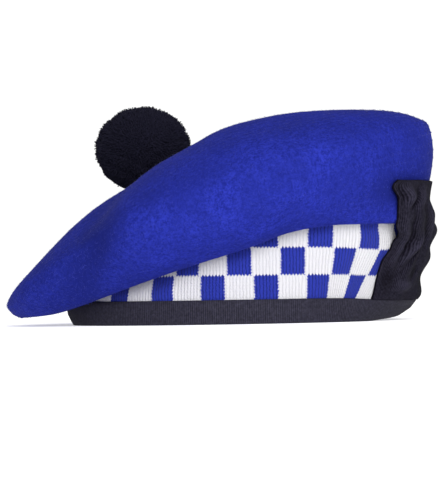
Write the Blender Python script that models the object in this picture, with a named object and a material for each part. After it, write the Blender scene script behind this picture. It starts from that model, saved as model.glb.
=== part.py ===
"""Balmoral bonnet with a diced band.

A felted wool crown droops to the wearer's right over a knitted, diced headband. A ribbon
binds the band's lower edge, a gathered ribbon cockade covers its left side, and a wool
toorie sits in a dimple of the crown. Metres, +Z up. The wearer faces -Y, so the cockade
side, the wearer's left, is +X. A turn is an angle round the ring, 0 at the cockade.
"""
import math
from functools import lru_cache

import bmesh
import bpy
from mathutils import Vector

# Head ring, measured over the outside of the binding at its upper edge.
RING_WIDTH = 0.1855
RING_DEPTH = 0.196
RING_STEPS = 60

# Ribbon folded round the band's lower edge.
BINDING_HEIGHT = 0.0125
BINDING_WALL = 0.001
BINDING_SWELL = 0.0015
BINDING_EDGE = 0.0008

# Knitted band: three rows of dice, and a strip above them that the crown covers.
DICE_ROWS = 3
DICE_HEIGHT = 0.014
BAND_SEAM = 0.008
BAND_WALL = 0.003
BAND_BEND = 0.006

# Felt crown. Its overhangs stand out from the ring's outline. Behind its ridge the top
# falls by BACK_FALL over a length as deep as the ring.
CROWN_HEIGHT = 0.1115
CROWN_OVERHANG = 0.033
FELT_WALL = 0.0022
FELT_CLEAR = 0.0008
LIP_RADIUS = 0.0035
SEAM_SET_BACK = 0.0008
SEAM_ROWS = 2
RIDGE_PLACE = 0.045
RIDGE_ROUND = 0.03
BACK_FALL = 0.0098
FOLD_DEPTH = 0.0035
GATHERS = 13
GATHER_DEPTH = 0.0008
GATHER_REACH = 0.028
GATHER_LENGTH = 0.009

# Dimple that the toorie sits in, from the ring's middle towards the wearer's right and back.
DIMPLE_RIGHT = 0.0370
DIMPLE_BACK = 0.017
DIMPLE_DEPTH = 0.0112
DIMPLE_SPREAD = 0.028

TOORIE_WIDTH = 0.0512
TOORIE_HEIGHT = 0.0454
TOORIE_LOCKS = 90
LOCK_DEPTH = 0.0028

# Cockade of gathered ribbon, its height measured up from the binding.
COCKADE_HEIGHT = 0.0595
COCKADE_WALL = 0.0012
COCKADE_PUFF = 0.006
PRESS_DEPTH = 0.0034
PRESS_TURN = -8
PRESS_SPREAD = 26
BRIDGE_EDGE = 0.3
LIP_CLEAR = 0.002
LIP_FADE = 0.009
COCKADE_STEPS_ACROSS = 26
COCKADE_STEPS_UP = 17
COCKADE_CLOSER_LOW = 1.3

# Clear space between pieces that touch on the real bonnet.
GAP = 0.0003

# How the ring's wall leans out, in degrees, how long the bend between the two leans is, as a
# share of BAND_BEND, how far the lower edge is lifted, in shares of the binding's height, and
# how far the binding's outer face swells between its edges, as a share of BINDING_SWELL.
# Front and back are alike.
RING_COLUMNS = ("turn", "binding_lean", "band_lean", "bend", "lift", "swell")
RING_SHAPE = (
    (0, 50, -9, 0.65, 0.22, 1.0),
    (15, 46, -1, 0.65, 0.17, 0.9),
    (30, 37, 12, 0.8, 0.09, 0.6),
    (45, 24, 18, 1.0, 0.0, 0.3),
    (60, 9, 12, 1.0, 0.0, 0.1),
    (75, 0, 3, 1.0, 0.0, 0.0),
    (90, 0, 0, 1.0, 0.0, 0.0),
    (120, 0, -14, 1.0, 0.0, 0.0),
    (150, 6, -31, 1.0, 0.0, 0.3),
    (180, 17, -40, 1.0, 0.0, 0.7),
)

# The crown round the ring: overhang as a share of CROWN_OVERHANG, the rim's height as a
# share of CROWN_HEIGHT, how far out the lower lip lies on the overhang, and how square the
# shoulder is.
CROWN_COLUMNS = ("turn", "overhang", "rim_height", "lip_out", "shoulder")
CROWN_SHAPE = (
    (0, 0.25, 0.80, 0.0, 5.0),
    (15, 0.35, 0.79, 0.0, 4.6),
    (30, 0.51, 0.76, 0.0, 4.2),
    (45, 0.63, 0.72, 0.0, 3.8),
    (60, 0.79, 0.67, 0.0, 3.4),
    (75, 0.92, 0.61, 0.08, 3.1),
    (90, 1.00, 0.53, 0.16, 2.9),
    (120, 1.06, 0.37, 0.33, 2.6),
    (150, 1.03, 0.155, 0.62, 2.5),
    (180, 0.935, 0.098, 0.78, 2.5),
)

# Seen from the front, from the drooping tip (0) to the cockade side (1): the top line
# before its ends round over, and the lower fold, in shares of CROWN_HEIGHT.
OUTLINE_COLUMNS = ("along", "top", "fold")
OUTLINE_SHAPE = (
    (0.0, 0.235, 0.037),
    (0.03, 0.305, 0.039),
    (0.09, 0.405, 0.050),
    (0.14, 0.487, 0.076),
    (0.22, 0.60, 0.127),
    (0.33, 0.725, 0.202),
    (0.45, 0.858, 0.278),
    (0.51, 0.919, 0.313),
    (0.58, 0.957, 0.356),
    (0.65, 0.984, 0.408),
    (0.71, 0.998, 0.433),
    (0.77, 1.006, 0.445),
    (0.90, 1.025, 0.448),
    (1.0, 1.01, 0.450),
)

# Soft dents (depth below 0) and swells of the felt. Turn and spread are in degrees; reach
# is the place between the toorie (0) and the rim (1); depth is a share of FOLD_DEPTH.
FOLD_COLUMNS = ("turn", "reach", "turn_spread", "reach_spread", "depth")
FELT_FOLDS = (
    (-131, 0.86, 9, 0.33, -1.0),
    (-112, 0.70, 10, 0.30, 0.45),
    (-152, 0.66, 12, 0.25, 0.35),
    (-74, 0.80, 15, 0.07, -0.45),
    (-52, 0.93, 14, 0.08, 0.35),
    (-24, 0.84, 12, 0.12, -0.35),
    (38, 0.78, 16, 0.20, -0.6),
    (84, 0.82, 14, 0.16, 0.5),
    (128, 0.74, 12, 0.30, -0.8),
    (165, 0.62, 14, 0.25, 0.4),
)

# Outline of the cockade: its two edges, in degrees of turn, from its foot (0) to its top (1).
COCKADE_COLUMNS = ("up", "front_turn", "back_turn")
COCKADE_EDGES = (
    (0.0, -44.0, 12),
    (0.2, -44.2, 13),
    (0.32, -43.6, 13),
    (0.45, -40.9, 12),
    (0.53, -41.4, 13),
    (0.62, -45.4, 14),
    (0.71, -46.0, 13),
    (0.85, -46.6, 13),
    (0.94, -48.6, 12),
    (1.0, -48.9, 10),
)

# Ribbon folds of the cockade: centre and half widths as shares of its width and height, a
# slant across for each share of height, and the depth as a share of COCKADE_PUFF.
PLEAT_COLUMNS = ("across", "up", "half_across", "half_up", "slant", "depth")
COCKADE_PLEATS = (
    (0.08, 0.88, 0.07, 0.09, 0.0, 0.32),
    (0.20, 0.45, 0.05, 0.40, -0.10, 0.30),
    (0.31, 0.40, 0.04, 0.25, -0.12, -0.22),
    (0.42, 0.50, 0.06, 0.36, -0.12, 0.30),
    (0.40, 0.90, 0.05, 0.08, 0.25, -0.30),
    (0.53, 0.33, 0.05, 0.22, 0.30, -0.34),
    (0.74, 0.60, 0.16, 0.13, 0.10, 1.15),
    (0.80, 0.36, 0.12, 0.11, 0.0, 0.85),
    (0.66, 0.13, 0.10, 0.07, 0.0, -0.30),
    (0.74, 0.80, 0.10, 0.14, -0.20, -0.30),
    (0.88, 0.42, 0.05, 0.30, 0.10, 0.28),
)

KNIT_HALF = BAND_WALL / 2
FELT_SEAT = KNIT_HALF + FELT_CLEAR
CHANNEL_HALF = KNIT_HALF + GAP
BINDING_HALF = CHANNEL_HALF + BINDING_WALL
BAND_TOP = BINDING_HEIGHT + DICE_ROWS * DICE_HEIGHT + BAND_SEAM


def linear_colour(hex_colour):
    channels = [int(hex_colour[i:i + 2], 16) / 255 for i in (0, 2, 4)]
    linear = [c / 12.92 if c <= 0.04045 else ((c + 0.055) / 1.055) ** 2.4 for c in channels]
    return (*linear, 1.0)


def material(name, hex_colour, roughness):
    made = bpy.data.materials.new(name)
    made.use_nodes = True
    shader = made.node_tree.nodes["Principled BSDF"]
    shader.inputs["Base Color"].default_value = linear_colour(hex_colour)
    shader.inputs["Roughness"].default_value = roughness
    shader.inputs["Metallic"].default_value = 0.0
    made.diffuse_color = linear_colour(hex_colour)
    return made


def smoothstep(value):
    value = min(1.0, max(0.0, value))
    return value * value * (3 - 2 * value)


def bell(distance, half_width):
    return math.exp(-((distance / half_width) ** 2))


def lerp(start, end, share):
    return start + (end - start) * share


def read(table, columns, name, place):
    """The named column at a place between rows, on a curve that never overshoots them."""
    column = columns.index(name)
    at = [row[0] for row in table]
    value = [row[column] for row in table]
    place = min(at[-1], max(at[0], place))
    last = len(at) - 2
    i = max(k for k in range(last + 1) if at[k] <= place)
    slopes = [(value[k + 1] - value[k]) / (at[k + 1] - at[k]) for k in range(last + 1)]

    def tangent(k):
        if k == 0 or k == last + 1 or slopes[k - 1] * slopes[k] <= 0:
            return 0.0
        return 2 * slopes[k - 1] * slopes[k] / (slopes[k - 1] + slopes[k])

    span = at[i + 1] - at[i]
    t = (place - at[i]) / span
    rise = t * t * (3 - 2 * t)
    return (
        lerp(value[i], value[i + 1], rise)
        + span * tangent(i) * t * (1 - t) ** 2
        - span * tangent(i + 1) * t * t * (1 - t)
    )


def mirrored(turn):
    """The turn in degrees away from the cockade, 0 to 180, for tables that front and back share."""
    return abs((math.degrees(turn) + 180) % 360 - 180)


def ring_steps():
    return [2 * math.pi * i / RING_STEPS for i in range(RING_STEPS)]


def outward(turn):
    return Vector((math.cos(turn) / RING_WIDTH, math.sin(turn) / RING_DEPTH, 0)).normalized()


def ring_plan(turn):
    return Vector((RING_WIDTH / 2 * math.cos(turn), RING_DEPTH / 2 * math.sin(turn), 0))


def wall_point(turn, run, out):
    """A point on the ring's wall: run up it from its lower edge, out from the knit's middle."""
    away = mirrored(turn)
    binding_lean = math.radians(read(RING_SHAPE, RING_COLUMNS, "binding_lean", away))
    band_lean = math.radians(read(RING_SHAPE, RING_COLUMNS, "band_lean", away))
    bend = read(RING_SHAPE, RING_COLUMNS, "bend", away) * BAND_BEND
    flat_half = BINDING_HALF - BINDING_EDGE
    foot = read(RING_SHAPE, RING_COLUMNS, "lift", away) * BINDING_HEIGHT
    foot += flat_half * abs(math.sin(binding_lean))
    below = min(run, BINDING_HEIGHT) - BINDING_HEIGHT
    swell = read(RING_SHAPE, RING_COLUMNS, "swell", away) * BINDING_SWELL
    across = below * math.sin(binding_lean)
    across += swell * math.sin(math.pi * below / BINDING_HEIGHT) ** 2
    height = foot + (BINDING_HEIGHT + below) * math.cos(binding_lean)
    above = max(0.0, run - BINDING_HEIGHT)
    steps = 16
    lean = binding_lean
    for k in range(steps if above > 0 else 0):
        passed = above * (k + 0.5) / steps
        lean = lerp(binding_lean, band_lean, smoothstep(passed / bend))
        across += math.sin(lean) * above / steps
        height += math.cos(lean) * above / steps
    lean = lerp(binding_lean, band_lean, smoothstep(above / bend))
    point = ring_plan(turn) + outward(turn) * (across - BINDING_HALF)
    point += outward(turn) * (out * math.cos(lean))
    point.z = height - out * math.sin(lean)
    return point


def run_at_height(turn, height, out):
    low, high = 0.0, BAND_TOP
    for _ in range(18):
        middle = (low + high) / 2
        if wall_point(turn, middle, out).z < height:
            low = middle
        else:
            high = middle
    return low


def rim_plan(turn):
    overhang = read(CROWN_SHAPE, CROWN_COLUMNS, "overhang", mirrored(turn)) * CROWN_OVERHANG
    return ring_plan(turn) + outward(turn) * overhang


def along_front(x):
    tip = rim_plan(math.pi).x
    return (x - tip) / (rim_plan(0).x - tip)


@lru_cache(maxsize=None)
def lip(turn):
    """Where the felt leaves the band, and the lowest point of its lower fold."""
    share = read(CROWN_SHAPE, CROWN_COLUMNS, "lip_out", mirrored(turn))
    rim = rim_plan(turn)
    height = 0.4 * CROWN_HEIGHT
    for _ in range(6):
        run = run_at_height(turn, height, FELT_SEAT)
        leave = wall_point(turn, run, FELT_SEAT)
        across = Vector((rim.x - leave.x, rim.y - leave.y, 0))
        out = max(LIP_RADIUS, share * across.length)
        low = leave + across.normalized() * out
        low.z = read(OUTLINE_SHAPE, OUTLINE_COLUMNS, "fold", along_front(low.x)) * CROWN_HEIGHT
        rise = LIP_RADIUS * (out / LIP_RADIUS) ** 0.8
        height = low.z + rise
    return leave, low


def bezier(a, b, c, d, t):
    return a * (1 - t) ** 3 + b * (3 * t * (1 - t) ** 2) + c * (3 * t * t * (1 - t)) + d * t ** 3


def crown_top(turn, reach):
    """The crown's upper face, from the toorie (reach 0) to the rim (reach 1)."""
    rim = rim_plan(turn)
    away = mirrored(turn)
    rim_height = read(CROWN_SHAPE, CROWN_COLUMNS, "rim_height", away) * CROWN_HEIGHT
    shoulder = read(CROWN_SHAPE, CROWN_COLUMNS, "shoulder", away)
    point = Vector((lerp(-DIMPLE_RIGHT, rim.x, reach), lerp(DIMPLE_BACK, rim.y, reach), 0))
    top = read(OUTLINE_SHAPE, OUTLINE_COLUMNS, "top", along_front(point.x)) * CROWN_HEIGHT
    behind = point.y + RIDGE_PLACE
    top -= BACK_FALL / RING_DEPTH * (math.hypot(behind, RIDGE_ROUND) + behind) / 2
    point.z = rim_height + (top - rim_height) * (1 - reach ** shoulder) ** (1 / shoulder)
    from_dimple = math.hypot(point.x + DIMPLE_RIGHT, point.y - DIMPLE_BACK)
    point.z -= DIMPLE_DEPTH * bell(from_dimple, DIMPLE_SPREAD)
    pinch = bell(from_dimple - GATHER_REACH, GATHER_LENGTH)
    point.z += GATHER_DEPTH * pinch * math.cos(GATHERS * turn)
    return point


def felt_fold(turn, reach):
    """How far the soft dents and swells move the felt outwards."""
    moved = 0.0
    for row in FELT_FOLDS:
        fold = dict(zip(FOLD_COLUMNS, row))
        apart = (math.degrees(turn) - fold["turn"] + 180) % 360 - 180
        near = bell(apart, fold["turn_spread"]) * bell(reach - fold["reach"], fold["reach_spread"])
        moved += fold["depth"] * FOLD_DEPTH * near
    return moved


def crown_meridian(turn):
    """The felt's outer face, from its seam on the band, round the lower fold, to the rim."""
    leave, low = lip(turn)
    rim = rim_plan(turn)
    rim.z = read(CROWN_SHAPE, CROWN_COLUMNS, "rim_height", mirrored(turn)) * CROWN_HEIGHT
    seam_run = BAND_TOP - SEAM_SET_BACK
    seam = wall_point(turn, seam_run, FELT_SEAT)
    run = run_at_height(turn, leave.z, FELT_SEAT)
    middle = wall_point(turn, (run + seam_run) / 2, FELT_SEAT)
    points = [seam, middle]
    level = Vector((low.x - leave.x, low.y - leave.y, 0))
    down = (wall_point(turn, run * 0.98, FELT_SEAT) - leave).normalized()
    along_wall = leave + down * (leave.z - low.z) * 0.55
    points += [bezier(leave, along_wall, low - level * 0.55, low, t) for t in (0, 0.3, 0.55, 0.8)]
    across = Vector((rim.x - low.x, rim.y - low.y, 0))
    lifted = (rim.z - low.z) * 0.6
    handle = max(math.sqrt(2 / 3 * lifted * LIP_RADIUS), 0.5 * across.length)
    out = low + across.normalized() * handle
    under = rim - Vector((0, 0, (rim.z - low.z) * 0.4))
    points += [bezier(low, out, under, rim, t) for t in (0.0, 0.12, 0.27, 0.48, 0.74)]
    return points


def cockade_press(turn):
    """How far the cockade's stitches draw the felt in."""
    apart = (math.degrees(turn) - PRESS_TURN + 180) % 360 - 180
    return PRESS_DEPTH * bell(apart, PRESS_SPREAD)


@lru_cache(maxsize=None)
def crown_columns(turn):
    """One meridian of the crown from seam to toorie, with the felt's folds."""
    points = crown_meridian(turn)
    for point, share in zip(points[8:], (0.3, 0.9, 0.35)):
        point -= outward(turn) * cockade_press(turn) * share
    for point, share in zip(points[7:], (0.25, 0.5, 0.75, 1.0)):
        point += outward(turn) * felt_fold(turn, 1.0) * share
    for reach in (1.0, 0.985, 0.95, 0.88, 0.78, 0.64, 0.48, 0.33, 0.2, 0.1, 0.04):
        point = crown_top(turn, reach)
        tilt = reach ** 4
        face = outward(turn) * tilt + Vector((0, 0, 1 - tilt))
        points.append(point + face.normalized() * felt_fold(turn, reach))
    return points


def add_object(name, bm, look):
    mesh = bpy.data.meshes.new(name)
    bm.to_mesh(mesh)
    bm.free()
    mesh.shade_smooth()
    mesh.set_sharp_from_angle(angle=math.radians(50))
    obj = bpy.data.objects.new(name, mesh)
    obj.data.materials.append(look)
    bpy.context.collection.objects.link(obj)
    return obj


def thicken(obj, wall):
    """Gives a sheet its wall, behind the face that its normals point from."""
    solid = obj.modifiers.new("Wall", "SOLIDIFY")
    solid.thickness = wall
    solid.offset = -1
    solid.use_rim = True


def swept_ring(name, section, look):
    """A closed section of (run, out) corners, carried round the ring's wall.

    Each quad is split from its low near corner to its high far one, so that the facets of
    the layers run alike and the layers stay apart.
    """
    bm = bmesh.new()
    rings = []
    for turn in ring_steps():
        rings.append([bm.verts.new(wall_point(turn, run, out)) for run, out in section])
    for near, far in zip(rings, rings[1:] + rings[:1]):
        for i, (run, _) in enumerate(section):
            j = (i + 1) % len(section)
            low, high = (i, j) if run <= section[j][0] else (j, i)
            bm.faces.new((near[low], far[low], far[high]))
            bm.faces.new((near[low], far[high], near[high]))
    bmesh.ops.recalc_face_normals(bm, faces=bm.faces)
    return add_object(name, bm, look)


def make_binding(look):
    inner_top = BINDING_HEIGHT - BINDING_WALL
    section = (
        (BINDING_EDGE, BINDING_HALF),
        (BINDING_HEIGHT / 2, BINDING_HALF),
        (BINDING_HEIGHT, BINDING_HALF),
        (BINDING_HEIGHT, CHANNEL_HALF),
        (BINDING_WALL, CHANNEL_HALF),
        (BINDING_WALL, -CHANNEL_HALF),
        (inner_top, -CHANNEL_HALF),
        (inner_top, -BINDING_HALF),
        (BINDING_EDGE, -BINDING_HALF),
        (0.0, -BINDING_HALF + BINDING_EDGE),
        (0.0, BINDING_HALF - BINDING_EDGE),
    )
    return swept_ring("edge_binding", section, look)


def make_band(look):
    foot = BINDING_WALL + GAP
    bend = BINDING_HEIGHT + BAND_BEND
    middle = (bend + BAND_TOP) / 2
    outer = [foot, BINDING_HEIGHT, lerp(BINDING_HEIGHT, bend, 0.5), bend, middle, BAND_TOP]
    section = [(run, KNIT_HALF) for run in outer] + [(run, -KNIT_HALF) for run in reversed(outer)]
    return swept_ring("diced_band", section, look)


def make_crown(look):
    bm = bmesh.new()
    columns = []
    for turn in ring_steps():
        columns.append([bm.verts.new(point) for point in crown_columns(turn)])
    pole = bm.verts.new(crown_top(0.0, 0.0))
    # On the band the quads are split as the band's own are.
    for near, far in zip(columns, columns[1:] + columns[:1]):
        for i in range(SEAM_ROWS):
            bm.faces.new((near[i], far[i], near[i + 1]))
            bm.faces.new((far[i], far[i + 1], near[i + 1]))
        for i in range(SEAM_ROWS, len(near) - 1):
            bm.faces.new((near[i], far[i], far[i + 1], near[i + 1]))
        bm.faces.new((near[-1], far[-1], pole))
    crown = add_object("crown", bm, look)
    thicken(crown, FELT_WALL)
    return crown


def dimple_frame():
    """The lowest point of the crown's dimple, and the felt's upward direction there."""
    place = crown_top(0.0, 0.0)
    near = 0.03
    east = crown_top(0.0, near) - crown_top(math.pi, near)
    north = crown_top(math.pi / 2, near) - crown_top(-math.pi / 2, near)
    return place, east.cross(north).normalized()


def toorie_middle(half):
    """The middle of an upright ball that rests on the slope in the crown's dimple."""
    place, up = dimple_frame()
    reach = Vector((half.x * up.x, half.y * up.y, half.z * up.z))
    touch = Vector((half.x * reach.x, half.y * reach.y, half.z * reach.z)) / reach.length
    return place + up * GAP + touch


def make_toorie(look):
    bm = bmesh.new()
    golden = math.pi * (3 - math.sqrt(5))
    tips = []
    for i in range(TOORIE_LOCKS):
        height = 1 - 2 * (i + 0.5) / TOORIE_LOCKS
        wide = math.sqrt(1 - height * height)
        tips.append(Vector((wide * math.cos(i * golden), wide * math.sin(i * golden), height)))
        bm.verts.new(tips[-1])
    bmesh.ops.convex_hull(bm, input=bm.verts)
    bmesh.ops.poke(bm, faces=bm.faces)
    bmesh.ops.subdivide_edges(bm, edges=bm.edges, cuts=1, use_grid_fill=True)
    spacing = math.sqrt(4 * math.pi / TOORIE_LOCKS) * 0.6
    half = Vector((TOORIE_WIDTH / 2, TOORIE_WIDTH / 2, TOORIE_HEIGHT / 2))
    middle = toorie_middle(half)
    for vertex in bm.verts:
        way = vertex.co.normalized()
        apart = min(way.angle(tip) for tip in tips)
        loose = smoothstep((way.z + 0.95) / 0.5)
        valley = LOCK_DEPTH * min(1.0, apart / spacing) ** 2 * loose
        shape = Vector((way.x * half.x, way.y * half.y, way.z * half.z))
        vertex.co = middle + shape - way * valley
    bmesh.ops.recalc_face_normals(bm, faces=bm.faces)
    return add_object("toorie", bm, look)


def felt_at_height(turn, height):
    """The crown's outer face at a height between its lower fold and its rim."""
    points = crown_columns(turn)[6:14]
    for below, above in zip(points, points[1:]):
        if above.z >= height:
            share = (height - below.z) / (above.z - below.z)
            return below.lerp(above, max(0.0, share))
    return points[-1].copy()


def cockade_seat(turn, up, off_edge):
    """What the cockade lies against: the band above the binding, then the felt.

    Away from its side edges, the ribbon spans the hollow under the felt's lower fold.
    """
    foot = wall_point(turn, BINDING_HEIGHT + GAP, KNIT_HALF)
    height = lerp(foot.z, BINDING_HEIGHT + COCKADE_HEIGHT, up)
    low = lip(turn)[1].z + LIP_RADIUS
    if height > low:
        return felt_at_height(turn, height)
    bridge = foot.lerp(felt_at_height(turn, low), (height - foot.z) / (low - foot.z))
    knit = wall_point(turn, run_at_height(turn, height, KNIT_HALF), KNIT_HALF)
    spanned = max(bridge, knit, key=lambda point: point.dot(outward(turn)))
    under_lip = smoothstep((lip(turn)[1].z - LIP_CLEAR - height) / LIP_FADE)
    return spanned.lerp(knit, under_lip * (1 - smoothstep(off_edge / BRIDGE_EDGE)))


def cockade_seat_face(turn, up, off_edge):
    """The seat's outward direction."""
    near = 0.02
    round_it = cockade_seat(turn + near, up, off_edge) - cockade_seat(turn - near, up, off_edge)
    up_it = cockade_seat(turn, min(1, up + near), off_edge)
    up_it -= cockade_seat(turn, max(0, up - near), off_edge)
    return round_it.cross(up_it).normalized()


def cockade_relief(across, up):
    """How far the gathered ribbon stands off its seat."""
    puff = 0.22 * math.sin(math.pi * across) ** 0.5 * bell(up - 0.45, 0.33)
    for row in COCKADE_PLEATS:
        pleat = dict(zip(PLEAT_COLUMNS, row))
        sideways = across - pleat["across"] - pleat["slant"] * (up - pleat["up"])
        puff += pleat["depth"] * bell(sideways, pleat["half_across"]) * bell(
            up - pleat["up"], pleat["half_up"]
        )
    return max(0.0, puff) * COCKADE_PUFF


def cockade_point(across, up):
    front = read(COCKADE_EDGES, COCKADE_COLUMNS, "front_turn", up)
    back = read(COCKADE_EDGES, COCKADE_COLUMNS, "back_turn", up)
    turn = math.radians(lerp(front, back, across))
    off_edge = min(across, 1 - across)
    stand_off = GAP + COCKADE_WALL + cockade_relief(across, up)
    return cockade_seat(turn, up, off_edge) + cockade_seat_face(turn, up, off_edge) * stand_off


def make_cockade(look):
    bm = bmesh.new()
    rows = []
    for j in range(COCKADE_STEPS_UP):
        # The rows lie closer at the foot, where the band under them bends.
        up = (j / (COCKADE_STEPS_UP - 1)) ** COCKADE_CLOSER_LOW
        last = COCKADE_STEPS_ACROSS - 1
        row = [cockade_point(i / last, up) for i in range(last + 1)]
        rows.append([bm.verts.new(point) for point in row])
    for low, high in zip(rows, rows[1:]):
        for i in range(COCKADE_STEPS_ACROSS - 1):
            bm.faces.new((low[i], low[i + 1], high[i + 1], high[i]))
    cockade = add_object("cockade", bm, look)
    thicken(cockade, COCKADE_WALL)
    return cockade


def stand_on_origin(pieces):
    """Hangs the pieces on an empty that puts the middle of their footprint at the origin."""
    bpy.context.view_layer.update()
    corners = [piece.matrix_world @ Vector(c) for piece in pieces for c in piece.bound_box]
    x = (min(c.x for c in corners) + max(c.x for c in corners)) / 2
    y = (min(c.y for c in corners) + max(c.y for c in corners)) / 2
    bonnet = bpy.data.objects.new("bonnet", None)
    bpy.context.collection.objects.link(bonnet)
    bonnet.location = (-x, -y, 0)
    for piece in pieces:
        piece.parent = bonnet


def main():
    for obj in list(bpy.data.objects):
        bpy.data.objects.remove(obj)
    felt = material("Blue wool felt", "2B34AC", 0.95)
    knit = material("Diced wool knit", "F1F1F4", 0.9)
    ribbon = material("Black grosgrain ribbon", "2E2D38", 0.7)
    yarn = material("Black wool yarn", "1E1D2B", 0.95)
    pieces = [
        make_crown(felt),
        make_band(knit),
        make_binding(ribbon),
        make_cockade(ribbon),
        make_toorie(yarn),
    ]
    stand_on_origin(pieces)


main()
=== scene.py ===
"""Balmoral bonnet: felted crown, diced knit band, grosgrain binding and cockade, wool toorie.

Metres, +Z up. The wearer faces -Y, so the cockade side, the wearer's left, is +X. A turn is
an angle round the head ring, 0 at the cockade.
"""
import math
from functools import lru_cache

import bpy
import numpy as np
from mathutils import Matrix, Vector


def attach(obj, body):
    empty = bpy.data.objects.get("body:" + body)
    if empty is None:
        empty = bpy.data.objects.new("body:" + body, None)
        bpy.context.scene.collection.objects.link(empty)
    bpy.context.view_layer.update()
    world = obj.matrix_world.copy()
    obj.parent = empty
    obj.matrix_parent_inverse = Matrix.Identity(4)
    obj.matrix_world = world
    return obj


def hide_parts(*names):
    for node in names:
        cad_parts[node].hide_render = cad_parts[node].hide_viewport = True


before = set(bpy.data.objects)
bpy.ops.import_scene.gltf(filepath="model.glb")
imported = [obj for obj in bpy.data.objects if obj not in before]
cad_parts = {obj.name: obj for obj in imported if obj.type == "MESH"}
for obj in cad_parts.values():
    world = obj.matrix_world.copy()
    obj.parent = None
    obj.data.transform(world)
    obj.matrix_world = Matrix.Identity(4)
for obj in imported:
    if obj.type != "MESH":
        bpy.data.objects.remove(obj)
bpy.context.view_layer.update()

# Head ring, and where its middle lies in the frame.
RING_MIDDLE = Vector((0.01024, -0.0002, 0.0))
RING_WIDTH = 0.1855
RING_DEPTH = 0.196

BINDING_HEIGHT = 0.0125
BINDING_WALL = 0.001
BINDING_SWELL = 0.0015
BINDING_EDGE = 0.0008
BINDING_TOP_ROUND = 0.0003

# Ribs of the grosgrain. A real rib is about 0.8 mm wide, and is drawn coarser so that it shows.
RIB_PITCH = 0.00116
RIB_HEIGHT = 0.00016

# The knit: 42 dice round the ring in three rows, each 8 wales wide and 9 courses high. The
# pattern starts a turn in degrees from the front's middle, and the binding hides its foot.
DICE_ROUND = 42
DICE_ROWS = 3
DICE_HEIGHT = 0.014
WALES = 8
COURSES = 9
DICE_START_TURN = -1.0
DICE_HIDDEN = 0.0022
BAND_SEAM = 0.008
BAND_WALL = 0.003
BAND_BEND = 0.006

# A white die spreads over its blue neighbours by this share of a die, puffs out and hides
# most of its wales' ribs. A blue die sinks by a share of the puff.
WHITE_SPREAD = 0.05
DICE_PUFF = 0.0009
PUFF_ROUND = 0.6
BLUE_SINKS = 0.2
WALE_RIB = 0.00028
WHITE_RIB_SHARE = 0.15

# The knit is pressed flat under the felt's lip, just above the binding, and under the cockade
# between two turns in degrees. Each fades out over its own length.
LIP_PRESS = 0.0015
LIP_PRESS_FADE = 0.003
BINDING_PRESS_FADE = 0.0012
COCKADE_PRESS_FRONT = -47.5
COCKADE_PRESS_FRONT_FADE = 2.5
COCKADE_PRESS_BACK = 16
COCKADE_PRESS_BACK_FADE = 3

# The cockade's stitches draw the dice beside it towards the front, by so many degrees at the
# most. It grows from a turn past the front's middle, and fades out up or down the rows.
LOW_CROWDING = 8.0
LOW_CROWDING_FROM = 24
LOW_CROWDING_GROWS = 28
LOW_CROWDING_ROWS = 2.5
TOP_CROWDING = 6.2
TOP_CROWDING_FROM = 20
TOP_CROWDING_GROWS = 35
TOP_CROWDING_ROW = 1.9
TOP_CROWDING_ROWS = 1.1
CROWDING_ENDS = 60
CROWDING_FADES = 40

# The crown's top falls towards the back, behind a soft ridge, and gathers round the toorie.
CROWN_HEIGHT = 0.1115
CROWN_OVERHANG = 0.033
FELT_WALL = 0.0022
FELT_CLEAR = 0.0008
LIP_RADIUS = 0.0035
SEAM_SET_BACK = 0.0008
RIDGE_PLACE = 0.045
RIDGE_ROUND = 0.03
BACK_FALL = 0.0098
FOLD_DEPTH = 0.0035
GATHERS = 13
GATHER_DEPTH = 0.0008
GATHER_REACH = 0.028
GATHER_LENGTH = 0.009

# The hollow that the toorie sits in, to the right of the ring's middle and behind it.
DIMPLE_RIGHT = 0.0370
DIMPLE_BACK = 0.017
DIMPLE_DEPTH = 0.0112
DIMPLE_SPREAD = 0.028

# The felt's loose hairs: their length and half width in metres, how high and how far aside
# they bend as shares of their length, and the rings of points hidden inside the crown.
HAIRS = 26000
HAIR_LENGTH = (0.0008, 0.0024)
HAIR_HALF_WIDTH = (0.00003, 0.00006)
HAIR_RISE = (0.05, 0.3)
HAIR_BEND = 0.25
HIDDEN_RINGS = 12

# The toorie's locks are parted by valleys, for a share of their depth and of their spacing.
TOORIE_WIDTH = 0.0512
TOORIE_HEIGHT = 0.0454
TOORIE_LOCKS = 90
LOCK_DEPTH = 0.0028
LOCK_VALLEY = 0.55
LOCK_WIDTH = 0.6

# The toorie's cut strands: how unevenly they stand, are trimmed and curl, the few that were
# missed by the shears, and where they start and end at most, as shares of the ball's size.
STRANDS = 9000
STRAND_SCATTER = 0.012
TRIM_SCATTER = 0.00035
STRAY_SHARE = 0.006
STRAY_LENGTH = (0.0005, 0.0015)
STRAND_CURL = 0.0006
STRAND_RADIUS = 0.0005
STRAND_TIP_RADIUS = 0.00026
STRAND_START = 0.74
STRAND_LONGEST = 1.03
CORE_SIZE = 0.93

COCKADE_HEIGHT = 0.0595
COCKADE_WALL = 0.0012
COCKADE_PUFF = 0.006
PUFF_SHARE = 0.22
PUFF_MIDDLE = 0.45
PUFF_REACH = 0.33
# The height of a gather, in metres, at which the light painted on it is fullest, and the depth of a
# crease at which its painted shade is fullest.
FOLD_SHADING_HEIGHT = 0.0016
# The ribbon's ribs, pressed flatter than the binding's, run over this width, and its height
# is given in rib widths. Its small gathers fade out at its edges.
COCKADE_RIBBED = 0.098
COCKADE_RIB_SHARE = 0.4
COCKADE_HEIGHT_IN_RIBS = 55.0
SIDE_FADE = 0.03
END_FADE = 0.05
# Its stitches draw the felt in round a turn in degrees. Away from its side edges, by a share
# of its width, the ribbon spans the hollow under the felt's lip.
PRESS_DEPTH = 0.0034
PRESS_TURN = -8
PRESS_SPREAD = 26
BRIDGE_EDGE = 0.3
LIP_CLEAR = 0.002
LIP_FADE = 0.009

# Between pieces that touch.
GAP = 0.0003

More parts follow.
